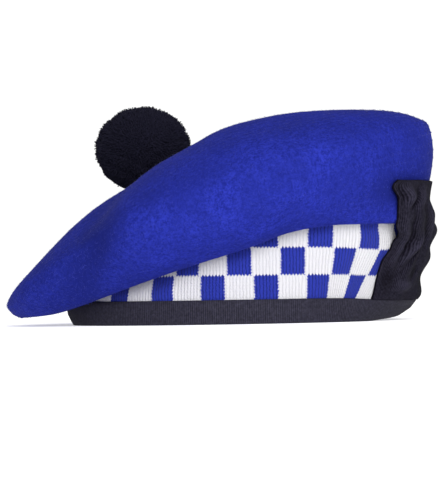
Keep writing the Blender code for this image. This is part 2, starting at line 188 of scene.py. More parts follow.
# How the ring's wall leans out, in degrees, how long the bend between the two leans is, as a
# share of BAND_BEND, how far the lower edge is lifted, in shares of the binding's height, and
# how far the binding's outer face swells between its edges, as a share of BINDING_SWELL.
# Front and back are alike.
RING_COLUMNS = ("turn", "binding_lean", "band_lean", "bend", "lift", "swell")
RING_SHAPE = (
    (0, 50, -9, 0.65, 0.22, 1.0),
    (15, 46, -1, 0.65, 0.17, 0.9),
    (30, 37, 12, 0.8, 0.09, 0.6),
    (45, 24, 18, 1.0, 0.0, 0.3),
    (60, 9, 12, 1.0, 0.0, 0.1),
    (75, 0, 3, 1.0, 0.0, 0.0),
    (90, 0, 0, 1.0, 0.0, 0.0),
    (120, 0, -14, 1.0, 0.0, 0.0),
    (150, 6, -31, 1.0, 0.0, 0.3),
    (180, 17, -40, 1.0, 0.0, 0.7),
)

# The crown round the ring: overhang as a share of CROWN_OVERHANG, the rim's height as a
# share of CROWN_HEIGHT, how far out the lower lip lies on the overhang, and how square the
# shoulder is.
CROWN_COLUMNS = ("turn", "overhang", "rim_height", "lip_out", "shoulder")
CROWN_SHAPE = (
    (0, 0.25, 0.80, 0.0, 5.0),
    (15, 0.35, 0.79, 0.0, 4.6),
    (30, 0.51, 0.76, 0.0, 4.2),
    (45, 0.63, 0.72, 0.0, 3.8),
    (60, 0.79, 0.67, 0.0, 3.4),
    (75, 0.92, 0.61, 0.08, 3.1),
    (90, 1.00, 0.53, 0.16, 2.9),
    (120, 1.06, 0.37, 0.33, 2.6),
    (150, 1.03, 0.155, 0.62, 2.5),
    (180, 0.935, 0.098, 0.78, 2.5),
)

# Seen from the front, from the drooping tip (0) to the cockade side (1): the top line
# before its ends round over, and the lower fold, in shares of CROWN_HEIGHT.
OUTLINE_COLUMNS = ("along", "top", "fold")
OUTLINE_SHAPE = (
    (0.0, 0.235, 0.037),
    (0.03, 0.305, 0.039),
    (0.09, 0.405, 0.050),
    (0.14, 0.487, 0.076),
    (0.22, 0.60, 0.127),
    (0.33, 0.725, 0.202),
    (0.45, 0.858, 0.278),
    (0.51, 0.919, 0.313),
    (0.58, 0.957, 0.356),
    (0.65, 0.984, 0.408),
    (0.71, 0.998, 0.433),
    (0.77, 1.006, 0.445),
    (0.90, 1.025, 0.448),
    (1.0, 1.01, 0.450),
)

# Soft dents (depth below 0) and swells of the felt. Turn and spread are in degrees; reach
# is the place between the toorie (0) and the rim (1); depth is a share of FOLD_DEPTH.
FOLD_COLUMNS = ("turn", "reach", "turn_spread", "reach_spread", "depth")
FELT_FOLDS = (
    (-131, 0.86, 9, 0.33, -1.0),
    (-112, 0.70, 10, 0.30, 0.45),
    (-152, 0.66, 12, 0.25, 0.35),
    (-74, 0.80, 15, 0.07, -0.45),
    (-52, 0.93, 14, 0.08, 0.35),
    (-24, 0.84, 12, 0.12, -0.35),
    (38, 0.78, 16, 0.20, -0.6),
    (84, 0.82, 14, 0.16, 0.5),
    (128, 0.74, 12, 0.30, -0.8),
    (165, 0.62, 14, 0.25, 0.4),
)

# Creases and dents of the felt, seen from the front and pressed straight back: the middle in
# metres from the ring's middle and from the floor, the tilt of its line from upright in
# degrees, half its length, its half widths to the left and right of the line and its depth in
# metres, and, in the nap column, how much shade is painted into it, 0 to 1. They fade out
# towards the crown's back.
DENTS_END = 0.02
DENTS_FADE = 0.03
DENT_COLUMNS = ("x", "z", "tilt", "half_long", "half_left", "half_right", "depth", "nap")
FELT_DENTS = (
    (-0.0725, 0.0430, 17, 0.024, 0.012, 0.0055, 0.0052, 0.48),
    (-0.049, 0.073, 40, 0.010, 0.007, 0.005, 0.0014, 0.09),
    (0.033, 0.099, 80, 0.022, 0.005, 0.006, 0.0022, 0.14),
    (0.060, 0.097, 88, 0.026, 0.003, 0.005, 0.0010, 0.07),
    (0.082, 0.067, 74, 0.020, 0.010, 0.009, 0.0020, 0.85),
    (-0.0870, 0.0220, 40, 0.028, 0.014, 0.0200, 0.0042, 0.50),
    (0.030, 0.062, 65, 0.016, 0.005, 0.007, 0.0006, 0.04),
    (-0.020, 0.058, 35, 0.014, 0.005, 0.006, 0.0006, 0.04),
)

# Outline of the cockade: its two edges, in degrees of turn, from its foot (0) to its top (1).
COCKADE_COLUMNS = ("up", "front_turn", "back_turn")
COCKADE_EDGES = (
    (0.0, -44.0, 12),
    (0.2, -44.2, 13),
    (0.32, -43.6, 13),
    (0.45, -40.9, 12),
    (0.53, -41.4, 13),
    (0.62, -45.4, 14),
    (0.71, -46.0, 13),
    (0.85, -46.6, 13),
    (0.94, -48.6, 12),
    (0.98, -47.9, 11),
    (1.0, -46.2, 10),
)

# Ribbon folds of the cockade: centre and half widths as shares of its width and height, a
# slant across for each share of height, and the depth as a share of COCKADE_PUFF.
PLEAT_COLUMNS = ("across", "up", "half_across", "half_up", "slant", "depth")
COCKADE_PLEATS = (
    (0.08, 0.88, 0.07, 0.09, 0.0, 0.32),
    (0.20, 0.45, 0.05, 0.40, -0.10, 0.30),
    (0.31, 0.40, 0.04, 0.25, -0.12, -0.22),
    (0.42, 0.50, 0.06, 0.36, -0.12, 0.30),
    (0.40, 0.90, 0.05, 0.08, 0.25, -0.30),
    (0.53, 0.33, 0.05, 0.22, 0.30, -0.34),
    (0.74, 0.60, 0.16, 0.13, 0.10, 1.15),
    (0.80, 0.36, 0.12, 0.11, 0.0, 0.85),
    (0.66, 0.13, 0.10, 0.07, 0.0, -0.30),
    (0.74, 0.80, 0.10, 0.14, -0.20, -0.30),
    (0.88, 0.42, 0.05, 0.30, 0.10, 0.28),
)

# Small gathers that only the ribbon itself shows, in the same columns.
RIBBON_GATHERS = (
    (0.035, 0.88, 0.014, 0.08, 0.0, -0.30),
    (0.085, 0.88, 0.030, 0.08, 0.15, 0.34),
    (0.145, 0.85, 0.016, 0.07, 0.58, -0.55),
    (0.215, 0.86, 0.035, 0.08, 0.50, 0.36),
    (0.068, 0.50, 0.028, 0.22, -0.05, 0.26),
    (0.125, 0.50, 0.018, 0.20, 0.0, -0.34),
    (0.175, 0.44, 0.026, 0.13, 0.30, 0.34),
    (0.23, 0.40, 0.018, 0.12, 0.35, -0.30),
    (0.08, 0.17, 0.050, 0.09, 0.0, -0.30),
    (0.335, 0.22, 0.030, 0.045, 0.2, -0.60),
    (0.27, 0.12, 0.090, 0.045, 0.0, 0.40),
    (0.30, 0.62, 0.025, 0.16, -0.30, -0.26),
    (0.36, 0.66, 0.030, 0.14, -0.20, 0.26),
    (0.58, 0.62, 0.025, 0.20, -0.20, -0.10),
    (0.62, 0.36, 0.030, 0.12, 0.50, 0.14),
    (0.80, 0.30, 0.025, 0.16, -0.30, -0.12),
    (0.92, 0.70, 0.025, 0.20, 0.10, -0.10),
)

KNIT_HALF = BAND_WALL / 2
FELT_SEAT = KNIT_HALF + FELT_CLEAR
CHANNEL_HALF = KNIT_HALF + GAP
BINDING_HALF = CHANNEL_HALF + BINDING_WALL
BAND_TOP = BINDING_HEIGHT + DICE_ROWS * DICE_HEIGHT + BAND_SEAM
GIRTH = math.pi * (RING_WIDTH + RING_DEPTH) / 2


def smoothstep(value):
    value = min(1.0, max(0.0, value))
    return value * value * (3 - 2 * value)


def bell(distance, half_width):
    return math.exp(-((distance / half_width) ** 2))


def lerp(start, end, share):
    return start + (end - start) * share


def read(table, columns, name, place):
    """The named column at a place between rows, on a curve that never overshoots them."""
    column = columns.index(name)
    at = [row[0] for row in table]
    value = [row[column] for row in table]
    place = min(at[-1], max(at[0], place))
    last = len(at) - 2
    i = max(k for k in range(last + 1) if at[k] <= place)
    slopes = [(value[k + 1] - value[k]) / (at[k + 1] - at[k]) for k in range(last + 1)]

    def tangent(k):
        if k == 0 or k == last + 1 or slopes[k - 1] * slopes[k] <= 0:
            return 0.0
        return 2 * slopes[k - 1] * slopes[k] / (slopes[k - 1] + slopes[k])

    span = at[i + 1] - at[i]
    t = (place - at[i]) / span
    rise = t * t * (3 - 2 * t)
    return (
        lerp(value[i], value[i + 1], rise)
        + span * tangent(i) * t * (1 - t) ** 2
        - span * tangent(i + 1) * t * t * (1 - t)
    )


def mirrored(turn):
    """The turn in degrees away from the cockade, 0 to 180, for tables that front and back share."""
    return abs((math.degrees(turn) + 180) % 360 - 180)


def turns(count):
    return [2 * math.pi * i / count for i in range(count)]


@lru_cache(maxsize=None)
def outward(turn):
    return Vector((math.cos(turn) / RING_WIDTH, math.sin(turn) / RING_DEPTH, 0)).normalized()


def ring_plan(turn):
    return Vector((RING_WIDTH / 2 * math.cos(turn), RING_DEPTH / 2 * math.sin(turn), 0))


@lru_cache(maxsize=None)
def ring_facts(turn):
    away = mirrored(turn)
    return [read(RING_SHAPE, RING_COLUMNS, name, away) for name in RING_COLUMNS[1:]]


def wall_point(turn, run, out):
    """A point on the ring's wall: run up it from its lower edge, out from the knit's middle."""
    binding_lean, band_lean, bend_share, lift, swell_share = ring_facts(turn)
    binding_lean = math.radians(binding_lean)
    band_lean = math.radians(band_lean)
    bend = bend_share * BAND_BEND
    flat_half = BINDING_HALF - BINDING_EDGE
    foot = lift * BINDING_HEIGHT + flat_half * abs(math.sin(binding_lean))
    below = min(run, BINDING_HEIGHT) - BINDING_HEIGHT
    swell = swell_share * BINDING_SWELL
    across = below * math.sin(binding_lean)
    across += swell * math.sin(math.pi * below / BINDING_HEIGHT) ** 2
    height = foot + (BINDING_HEIGHT + below) * math.cos(binding_lean)
    above = max(0.0, run - BINDING_HEIGHT)
    steps = 16
    lean = binding_lean
    for k in range(steps if above > 0 else 0):
        passed = above * (k + 0.5) / steps
        lean = lerp(binding_lean, band_lean, smoothstep(passed / bend))
        across += math.sin(lean) * above / steps
        height += math.cos(lean) * above / steps
    lean = lerp(binding_lean, band_lean, smoothstep(above / bend))
    point = ring_plan(turn) + outward(turn) * (across - BINDING_HALF)
    point += outward(turn) * (out * math.cos(lean))
    point.z = height - out * math.sin(lean)
    return point


def run_at_height(turn, height, out):
    low, high = 0.0, BAND_TOP
    for _ in range(18):
        middle = (low + high) / 2
        if wall_point(turn, middle, out).z < height:
            low = middle
        else:
            high = middle
    return low


@lru_cache(maxsize=None)
def rim_plan(turn):
    overhang = read(CROWN_SHAPE, CROWN_COLUMNS, "overhang", mirrored(turn)) * CROWN_OVERHANG
    return ring_plan(turn) + outward(turn) * overhang


def along_front(x):
    tip = rim_plan(math.pi).x
    return (x - tip) / (rim_plan(0).x - tip)


@lru_cache(maxsize=None)
def lip(turn):
    """Where the felt leaves the band, and the lowest point of its lower fold."""
    share = read(CROWN_SHAPE, CROWN_COLUMNS, "lip_out", mirrored(turn))
    rim = rim_plan(turn)
    height = 0.4 * CROWN_HEIGHT
    for _ in range(6):
        run = run_at_height(turn, height, FELT_SEAT)
        leave = wall_point(turn, run, FELT_SEAT)
        across = Vector((rim.x - leave.x, rim.y - leave.y, 0))
        out = max(LIP_RADIUS, share * across.length)
        low = leave + across.normalized() * out
        low.z = read(OUTLINE_SHAPE, OUTLINE_COLUMNS, "fold", along_front(low.x)) * CROWN_HEIGHT
        rise = LIP_RADIUS * (out / LIP_RADIUS) ** 0.8
        height = low.z + rise
    return leave, low


def bezier(a, b, c, d, t):
    return a * (1 - t) ** 3 + b * (3 * t * (1 - t) ** 2) + c * (3 * t * t * (1 - t)) + d * t ** 3


def crown_top(turn, reach):
    """The crown's upper face, from the toorie (reach 0) to the rim (reach 1)."""
    rim = rim_plan(turn)
    away = mirrored(turn)
    rim_height = read(CROWN_SHAPE, CROWN_COLUMNS, "rim_height", away) * CROWN_HEIGHT
    shoulder = read(CROWN_SHAPE, CROWN_COLUMNS, "shoulder", away)
    point = Vector((lerp(-DIMPLE_RIGHT, rim.x, reach), lerp(DIMPLE_BACK, rim.y, reach), 0))
    top = read(OUTLINE_SHAPE, OUTLINE_COLUMNS, "top", along_front(point.x)) * CROWN_HEIGHT
    behind = point.y + RIDGE_PLACE
    top -= BACK_FALL / RING_DEPTH * (math.hypot(behind, RIDGE_ROUND) + behind) / 2
    point.z = rim_height + (top - rim_height) * (1 - reach ** shoulder) ** (1 / shoulder)
    from_dimple = math.hypot(point.x + DIMPLE_RIGHT, point.y - DIMPLE_BACK)
    point.z -= DIMPLE_DEPTH * bell(from_dimple, DIMPLE_SPREAD)
    pinch = bell(from_dimple - GATHER_REACH, GATHER_LENGTH)
    point.z += GATHER_DEPTH * pinch * math.cos(GATHERS * turn)
    return point


def felt_fold(turn, reach):
    """How far the soft dents and swells move the felt outwards."""
    moved = 0.0
    for row in FELT_FOLDS:
        fold = dict(zip(FOLD_COLUMNS, row))
        apart = (math.degrees(turn) - fold["turn"] + 180) % 360 - 180
        near = bell(apart, fold["turn_spread"]) * bell(reach - fold["reach"], fold["reach_spread"])
        moved += fold["depth"] * FOLD_DEPTH * near
    return moved


def press_dents(grid):
    """Press the felt's dents straight back into its front, and give the shade painted into each."""
    depth = np.zeros(grid.shape[:2])
    # nap here is the shade painted into the dents, not a real nap.
    nap = np.zeros(grid.shape[:2])
    front = np.clip((DENTS_END - grid[..., 1]) / DENTS_FADE, 0, 1)
    for row in FELT_DENTS:
        dent = dict(zip(DENT_COLUMNS, row))
        tilt = math.radians(dent["tilt"])
        x = grid[..., 0] - dent["x"]
        z = grid[..., 2] - dent["z"]
        along = x * math.sin(tilt) + z * math.cos(tilt)
        across = x * math.cos(tilt) - z * math.sin(tilt)
        width = np.where(across > 0, dent["half_right"], dent["half_left"])
        near = np.exp(-(across / width) ** 2 - (along / dent["half_long"]) ** 2)
        depth += dent["depth"] * near * front
        nap += dent["nap"] * near * front
    grid[..., 1] += depth
    return nap


def cockade_press(turn):
    """How far the cockade's stitches draw the felt in."""
    apart = (math.degrees(turn) - PRESS_TURN + 180) % 360 - 180
    return PRESS_DEPTH * bell(apart, PRESS_SPREAD)


@lru_cache(maxsize=None)
def crown_meridian(turn):
    """The felt's outer face, from its seam on the band, round the lower fold, to the toorie."""
    leave, low = lip(turn)
    rim = rim_plan(turn).copy()
    rim.z = read(CROWN_SHAPE, CROWN_COLUMNS, "rim_height", mirrored(turn)) * CROWN_HEIGHT
    seam_run = BAND_TOP - SEAM_SET_BACK
    run = run_at_height(turn, leave.z, FELT_SEAT)
    points = [wall_point(turn, seam_run, FELT_SEAT)]
    points.append(wall_point(turn, (run + seam_run) / 2, FELT_SEAT))
    # Curves round the lower fold, with points closer together where they bend more.
    level = Vector((low.x - leave.x, low.y - leave.y, 0))
    down = (wall_point(turn, run * 0.98, FELT_SEAT) - leave).normalized()
    along_wall = leave + down * (leave.z - low.z) * 0.55
    points += [bezier(leave, along_wall, low - level * 0.55, low, t) for t in (0, 0.3, 0.55, 0.8)]
    across = Vector((rim.x - low.x, rim.y - low.y, 0))
    lifted = (rim.z - low.z) * 0.6
    handle = max(math.sqrt(2 / 3 * lifted * LIP_RADIUS), 0.5 * across.length)
    out = low + across.normalized() * handle
    under = rim - Vector((0, 0, (rim.z - low.z) * 0.4))
    points += [bezier(low, out, under, rim, t) for t in (0.0, 0.12, 0.27, 0.48, 0.74)]
    # The cockade's stitches and the soft dents fade in up the felt's side.
    for point, share in zip(points[8:], (0.3, 0.9, 0.35)):
        point -= outward(turn) * cockade_press(turn) * share
    for point, share in zip(points[7:], (0.25, 0.5, 0.75, 1.0)):
        point += outward(turn) * felt_fold(turn, 1.0) * share
    for reach in (1.0, 0.985, 0.95, 0.88, 0.78, 0.64, 0.48, 0.33, 0.2, 0.1, 0.04):
        point = crown_top(turn, reach)
        tilt = reach ** 4
        face = outward(turn) * tilt + Vector((0, 0, 1 - tilt))
        points.append(point + face.normalized() * felt_fold(turn, reach))
    return points


def felt_at_height(turn, height):
    """The crown's outer face at a height between its lower fold and its rim."""
    points = crown_meridian(turn)[6:14]
    for below, above in zip(points, points[1:]):
        if above.z >= height:
            share = (height - below.z) / (above.z - below.z)
            return below.lerp(above, max(0.0, share))
    return points[-1].copy()


def cockade_seat(turn, up, off_edge):
    """What the cockade lies against: the band above the binding, then the felt.

    Away from its side edges, the ribbon spans the hollow under the felt's lower fold.
    """
    foot = wall_point(turn, BINDING_HEIGHT + GAP, KNIT_HALF)
    height = lerp(foot.z, BINDING_HEIGHT + COCKADE_HEIGHT, up)
    low = lip(turn)[1].z + LIP_RADIUS
    if height > low:
        return felt_at_height(turn, height)
    bridge = foot.lerp(felt_at_height(turn, low), (height - foot.z) / (low - foot.z))
    knit = wall_point(turn, run_at_height(turn, height, KNIT_HALF), KNIT_HALF)
    spanned = max(bridge, knit, key=lambda point: point.dot(outward(turn)))
    under_lip = smoothstep((lip(turn)[1].z - LIP_CLEAR - height) / LIP_FADE)
    return spanned.lerp(knit, under_lip * (1 - smoothstep(off_edge / BRIDGE_EDGE)))


def ribbon_folds(table, across, up):
    """The summed height of the table's folds, in metres."""
    height = 0.0
    for row in table:
        fold = dict(zip(PLEAT_COLUMNS, row))
        sideways = across - fold["across"] - fold["slant"] * (up - fold["up"])
        height += fold["depth"] * bell(sideways, fold["half_across"]) * bell(
            up - fold["up"], fold["half_up"]
        )
    return height * COCKADE_PUFF


def cockade_relief(across, up):
    """How far the gathered ribbon stands off its seat."""
    swell = math.sin(math.pi * across) ** 0.5 * bell(up - PUFF_MIDDLE, PUFF_REACH)
    puff = PUFF_SHARE * swell * COCKADE_PUFF
    return max(0.0, puff + ribbon_folds(COCKADE_PLEATS, across, up))


# Grids of points, made finer and turned into cloth.


def as_grid(rows):
    return np.array([[tuple(point) for point in row] for row in rows])


def finer(grid, times, closed):
    """The grid with its first way split into so many steps, on a smooth curve."""
    if closed:
        around = [np.roll(grid, shift, axis=0) for shift in (1, 0, -1, -2)]
    else:
        padded = np.concatenate([2 * grid[:1] - grid[1:2], grid, 2 * grid[-1:] - grid[-2:-1]])
        around = [padded[k:len(padded) - 3 + k] for k in range(4)]
    a, b, c, d = around
    steps = []
    for k in range(times):
        t = k / times
        steps.append(0.5 * (
            2 * b + (c - a) * t + (2 * a - 5 * b + 4 * c - d) * t * t
            + (3 * b - a - 3 * c + d) * t ** 3
        ))
    made = np.stack(steps, axis=1).reshape(-1, *grid.shape[1:])
    return made if closed else np.concatenate([made, grid[-1:]])


def finer_up(grid, times):
    return finer(grid.swapaxes(0, 1), times, False).swapaxes(0, 1)


def facing(grid, closed):
    """Outward directions of a grid whose first way runs round and second way runs up."""
    if closed:
        round_it = np.roll(grid, -1, axis=0) - np.roll(grid, 1, axis=0)
    else:
        round_it = np.gradient(grid, axis=0)
    face = np.cross(round_it, np.gradient(grid, axis=1))
    return face / np.maximum(np.linalg.norm(face, axis=2, keepdims=True), 1e-12)


def mesh_of(name, points, faces, look, uvs=None, smooth=True):
    mesh = bpy.data.meshes.new(name)
    mesh.from_pydata(points.tolist(), [], faces)
    if uvs is not None:
        layer = mesh.uv_layers.new(name="Cloth")
        layer.data.foreach_set("uv", np.asarray(uvs, dtype=np.float32).reshape(-1))
    if smooth:
        mesh.shade_smooth()
    mesh.materials.append(look)
    piece = bpy.data.objects.new(name, mesh)
    bpy.context.scene.collection.objects.link(piece)
    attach(piece, "root")
    return piece


def cloth(name, grid, closed, look, measure, pole=None):
    """A sheet from a grid of points. measure is (across, up), its UV size in the cloth's units."""
    count, height = grid.shape[:2]
    points = grid.reshape(-1, 3) + np.array(RING_MIDDLE)
    last = count if closed else count - 1
    faces = []
    uvs = []
    for i in range(last):
        j = (i + 1) % count
        for k in range(height - 1):
            faces.append((i * height + k, j * height + k, j * height + k + 1, i * height + k + 1))
            for a, b in ((i, k), (i + 1, k), (i + 1, k + 1), (i, k + 1)):
                uvs.append((measure[0] * a / last, measure[1] * b / (height - 1)))
    if pole is not None:
        points = np.concatenate([points, [np.array(pole) + np.array(RING_MIDDLE)]])
        for i in range(last):
            j = (i + 1) % count
            faces.append((i * height + height - 1, j * height + height - 1, len(points) - 1))
            for a, b in ((i, height - 1), (i + 1, height - 1), (i + 0.5, height)):
                uvs.append((measure[0] * a / last, measure[1] * b / (height - 1)))
    return mesh_of(name, points, faces, look, uvs)


def thicken(piece, wall):
    solid = piece.modifiers.new("Wall", "SOLIDIFY")
    solid.thickness = wall
    solid.offset = -1
    solid.use_rim = True


# Materials. Each starts from the real cloth, and add_node gives a new node's outputs.

NOISE = "ShaderNodeTexNoise"
RANGE = "ShaderNodeMapRange"
MATHS = "ShaderNodeMath"

# The mix node has sockets for each kind of data, so its colour sockets go by number.
MIX = "ShaderNodeMix"
MIX_SHARE = 0
MIX_LOW = 6
MIX_HIGH = 7
MIX_RESULT = 2

# Sizes of the patterns, in metres. A wool fibre is 0.02 mm thick, too fine to show, so the
# felt's nap is drawn 1 mm coarse. Its tufts clump at 2 to 3 mm, and the dye took unevenly over
# about 20 mm. Hairs differ from tuft to tuft.
NAP_GRAIN = 0.0011
NAP_TUFT = 0.0024
DYE_PATCH = 0.02
HAIR_TINT = 0.003
# The ribbon's yarn is 0.3 mm thick, so its fuzz is drawn coarser too, as specks 1.5 mm wide.
# The toorie's yarn is 1.6 mm thick.
RIBBON_FUZZ = 0.0015
YARN_CURL = 0.0016
# The knit's fuzz is drawn 0.6 mm coarse, so many to a die of 14 mm, and the ribbon's warp
# threads 0.5 mm coarse, so many to a rib.
FUZZ_TO_A_DIE = 22.0
THREADS_TO_A_RIB = 2.2

# Stitches stand unevenly by a share of a die, 0.6 mm to either side, and an outer loop leans
# by another. A stitch's arms drop by a share of a course from the wale's middle to its sides.
STITCH_UNEVEN = 0.09
LOOP_LEAN = 0.12
ARM_DROP = 0.75


def linear_colour(hex_colour):
    """An sRGB hex colour in linear light, with full cover."""
    channels = [int(hex_colour[i:i + 2], 16) / 255 for i in (0, 2, 4)]
    linear = [c / 12.92 if c <= 0.04045 else ((c + 0.055) / 1.055) ** 2.4 for c in channels]
    return (*linear, 1.0)


def new_material(name, roughness, sheen, sheen_roughness, specular):
    """A cloth's material. Wool and spun ribbon yarn both have an IOR of about 1.54."""
    look = bpy.data.materials.new(name)
    look.use_nodes = True
    shader = look.node_tree.nodes["Principled BSDF"]
    shader.inputs["Roughness"].default_value = roughness
    shader.inputs["Metallic"].default_value = 0.0
    shader.inputs["IOR"].default_value = 1.54
    shader.inputs["Specular IOR Level"].default_value = specular
    shader.inputs["Sheen Weight"].default_value = sheen
    shader.inputs["Sheen Roughness"].default_value = sheen_roughness
    return look, shader


def add_node(look, kind, inputs, **settings):
    """Add a node with its settings, and its inputs linked or set by name or number."""
    node = look.node_tree.nodes.new(kind)
    for name, value in settings.items():
        setattr(node, name, value)
    for name, value in inputs.items():
        socket = node.inputs[name]
        if isinstance(value, bpy.types.NodeSocket):
            look.node_tree.links.new(value, socket)
        else:
            socket.default_value = value
    return node.outputs


def set_surface(look, shader, colour, height, strength, depth):
    """Give the shader its colour and its relief, which is depth metres deep."""
    links = look.node_tree.links
    links.new(colour, shader.inputs["Base Color"])
    bump = add_node(look, "ShaderNodeBump", {
        "Strength": strength, "Distance": depth, "Height": height,
    })
    links.new(bump[0], shader.inputs["Normal"])


def felt_look():
    """Milled wool: knitted, then shrunk and brushed, which hides the stitches under a soft nap.

    The eye sees no gloss, but a fine mottle of tufts and uneven dye, and shade painted into its
    dents.
    """
    look, shader = new_material(
        "Milled wool felt", roughness=0.95, sheen=0.02, sheen_roughness=0.35, specular=0.03
    )
    shader.inputs["Sheen Tint"].default_value = linear_colour("7C86F0")
    place = add_node(look, "ShaderNodeTexCoord", {})["Object"]
    nap = add_node(look, NOISE, {
        "Vector": place, "Scale": 1 / NAP_GRAIN, "Detail": 4.0, "Roughness": 0.7,
    })[0]
    tufts = add_node(look, NOISE, {
        "Vector": place, "Scale": 1 / NAP_TUFT, "Detail": 3.0, "Roughness": 0.6,
    })[0]
    cloud = add_node(look, NOISE, {"Vector": place, "Scale": 1 / DYE_PATCH, "Detail": 2.0})[0]
    fine = add_node(look, MATHS, {0: nap, 1: 0.65}, operation="MULTIPLY")[0]
    mottle = add_node(look, MATHS, {0: tufts, 1: 0.35, 2: fine}, operation="MULTIPLY_ADD")[0]
    dye_share = add_node(look, RANGE, {"Value": mottle, "From Min": 0.40, "From Max": 0.60})[0]
    dyed = add_node(look, MIX, {
        MIX_SHARE: dye_share,
        MIX_LOW: linear_colour("161E70"),
        MIX_HIGH: linear_colour("27319C"),
    }, data_type="RGBA")[MIX_RESULT]
    patch_share = add_node(look, RANGE, {
        "Value": cloud, "From Min": 0.38, "From Max": 0.62, "To Max": 0.55,
    })[0]
    uneven = add_node(look, MIX, {
        MIX_SHARE: patch_share, MIX_LOW: dyed, MIX_HIGH: linear_colour("1A2274"),
    }, data_type="RGBA")[MIX_RESULT]
    # Painted shade: the felt is darkened in its dents, where shade falls.
    painted_dent_shade = add_node(look, "ShaderNodeAttribute", {}, attribute_name="painted_dent_shade")["Fac"]
    colour = add_node(look, MIX, {
        MIX_SHARE: painted_dent_shade, MIX_LOW: uneven, MIX_HIGH: linear_colour("141B5E"),
    }, data_type="RGBA")[MIX_RESULT]
    raised_nap = add_node(look, MATHS, {0: nap, 1: 0.5}, operation="MULTIPLY")[0]
    relief = add_node(look, MATHS, {0: tufts, 1: 0.5, 2: raised_nap}, operation="MULTIPLY_ADD")[0]
    set_surface(look, shader, colour, relief, strength=0.65, depth=0.0006)
    return look


def nap_fibre_look():
    """Loose wool hairs on the felt, which catch more light than the cloth under them."""
    look, shader = new_material(
        "Loose wool hairs", roughness=0.85, sheen=0.1, sheen_roughness=0.4, specular=0.15
    )
    place = add_node(look, "ShaderNodeTexCoord", {})["Object"]
    tint = add_node(look, NOISE, {"Vector": place, "Scale": 1 / HAIR_TINT, "Detail": 1.0})[0]
    colour = add_node(look, MIX, {
        MIX_SHARE: tint,
        MIX_LOW: linear_colour("1B247A"),
        MIX_HIGH: linear_colour("3640AE"),
    }, data_type="RGBA")[MIX_RESULT]
    look.node_tree.links.new(colour, shader.inputs["Base Color"])
    return look


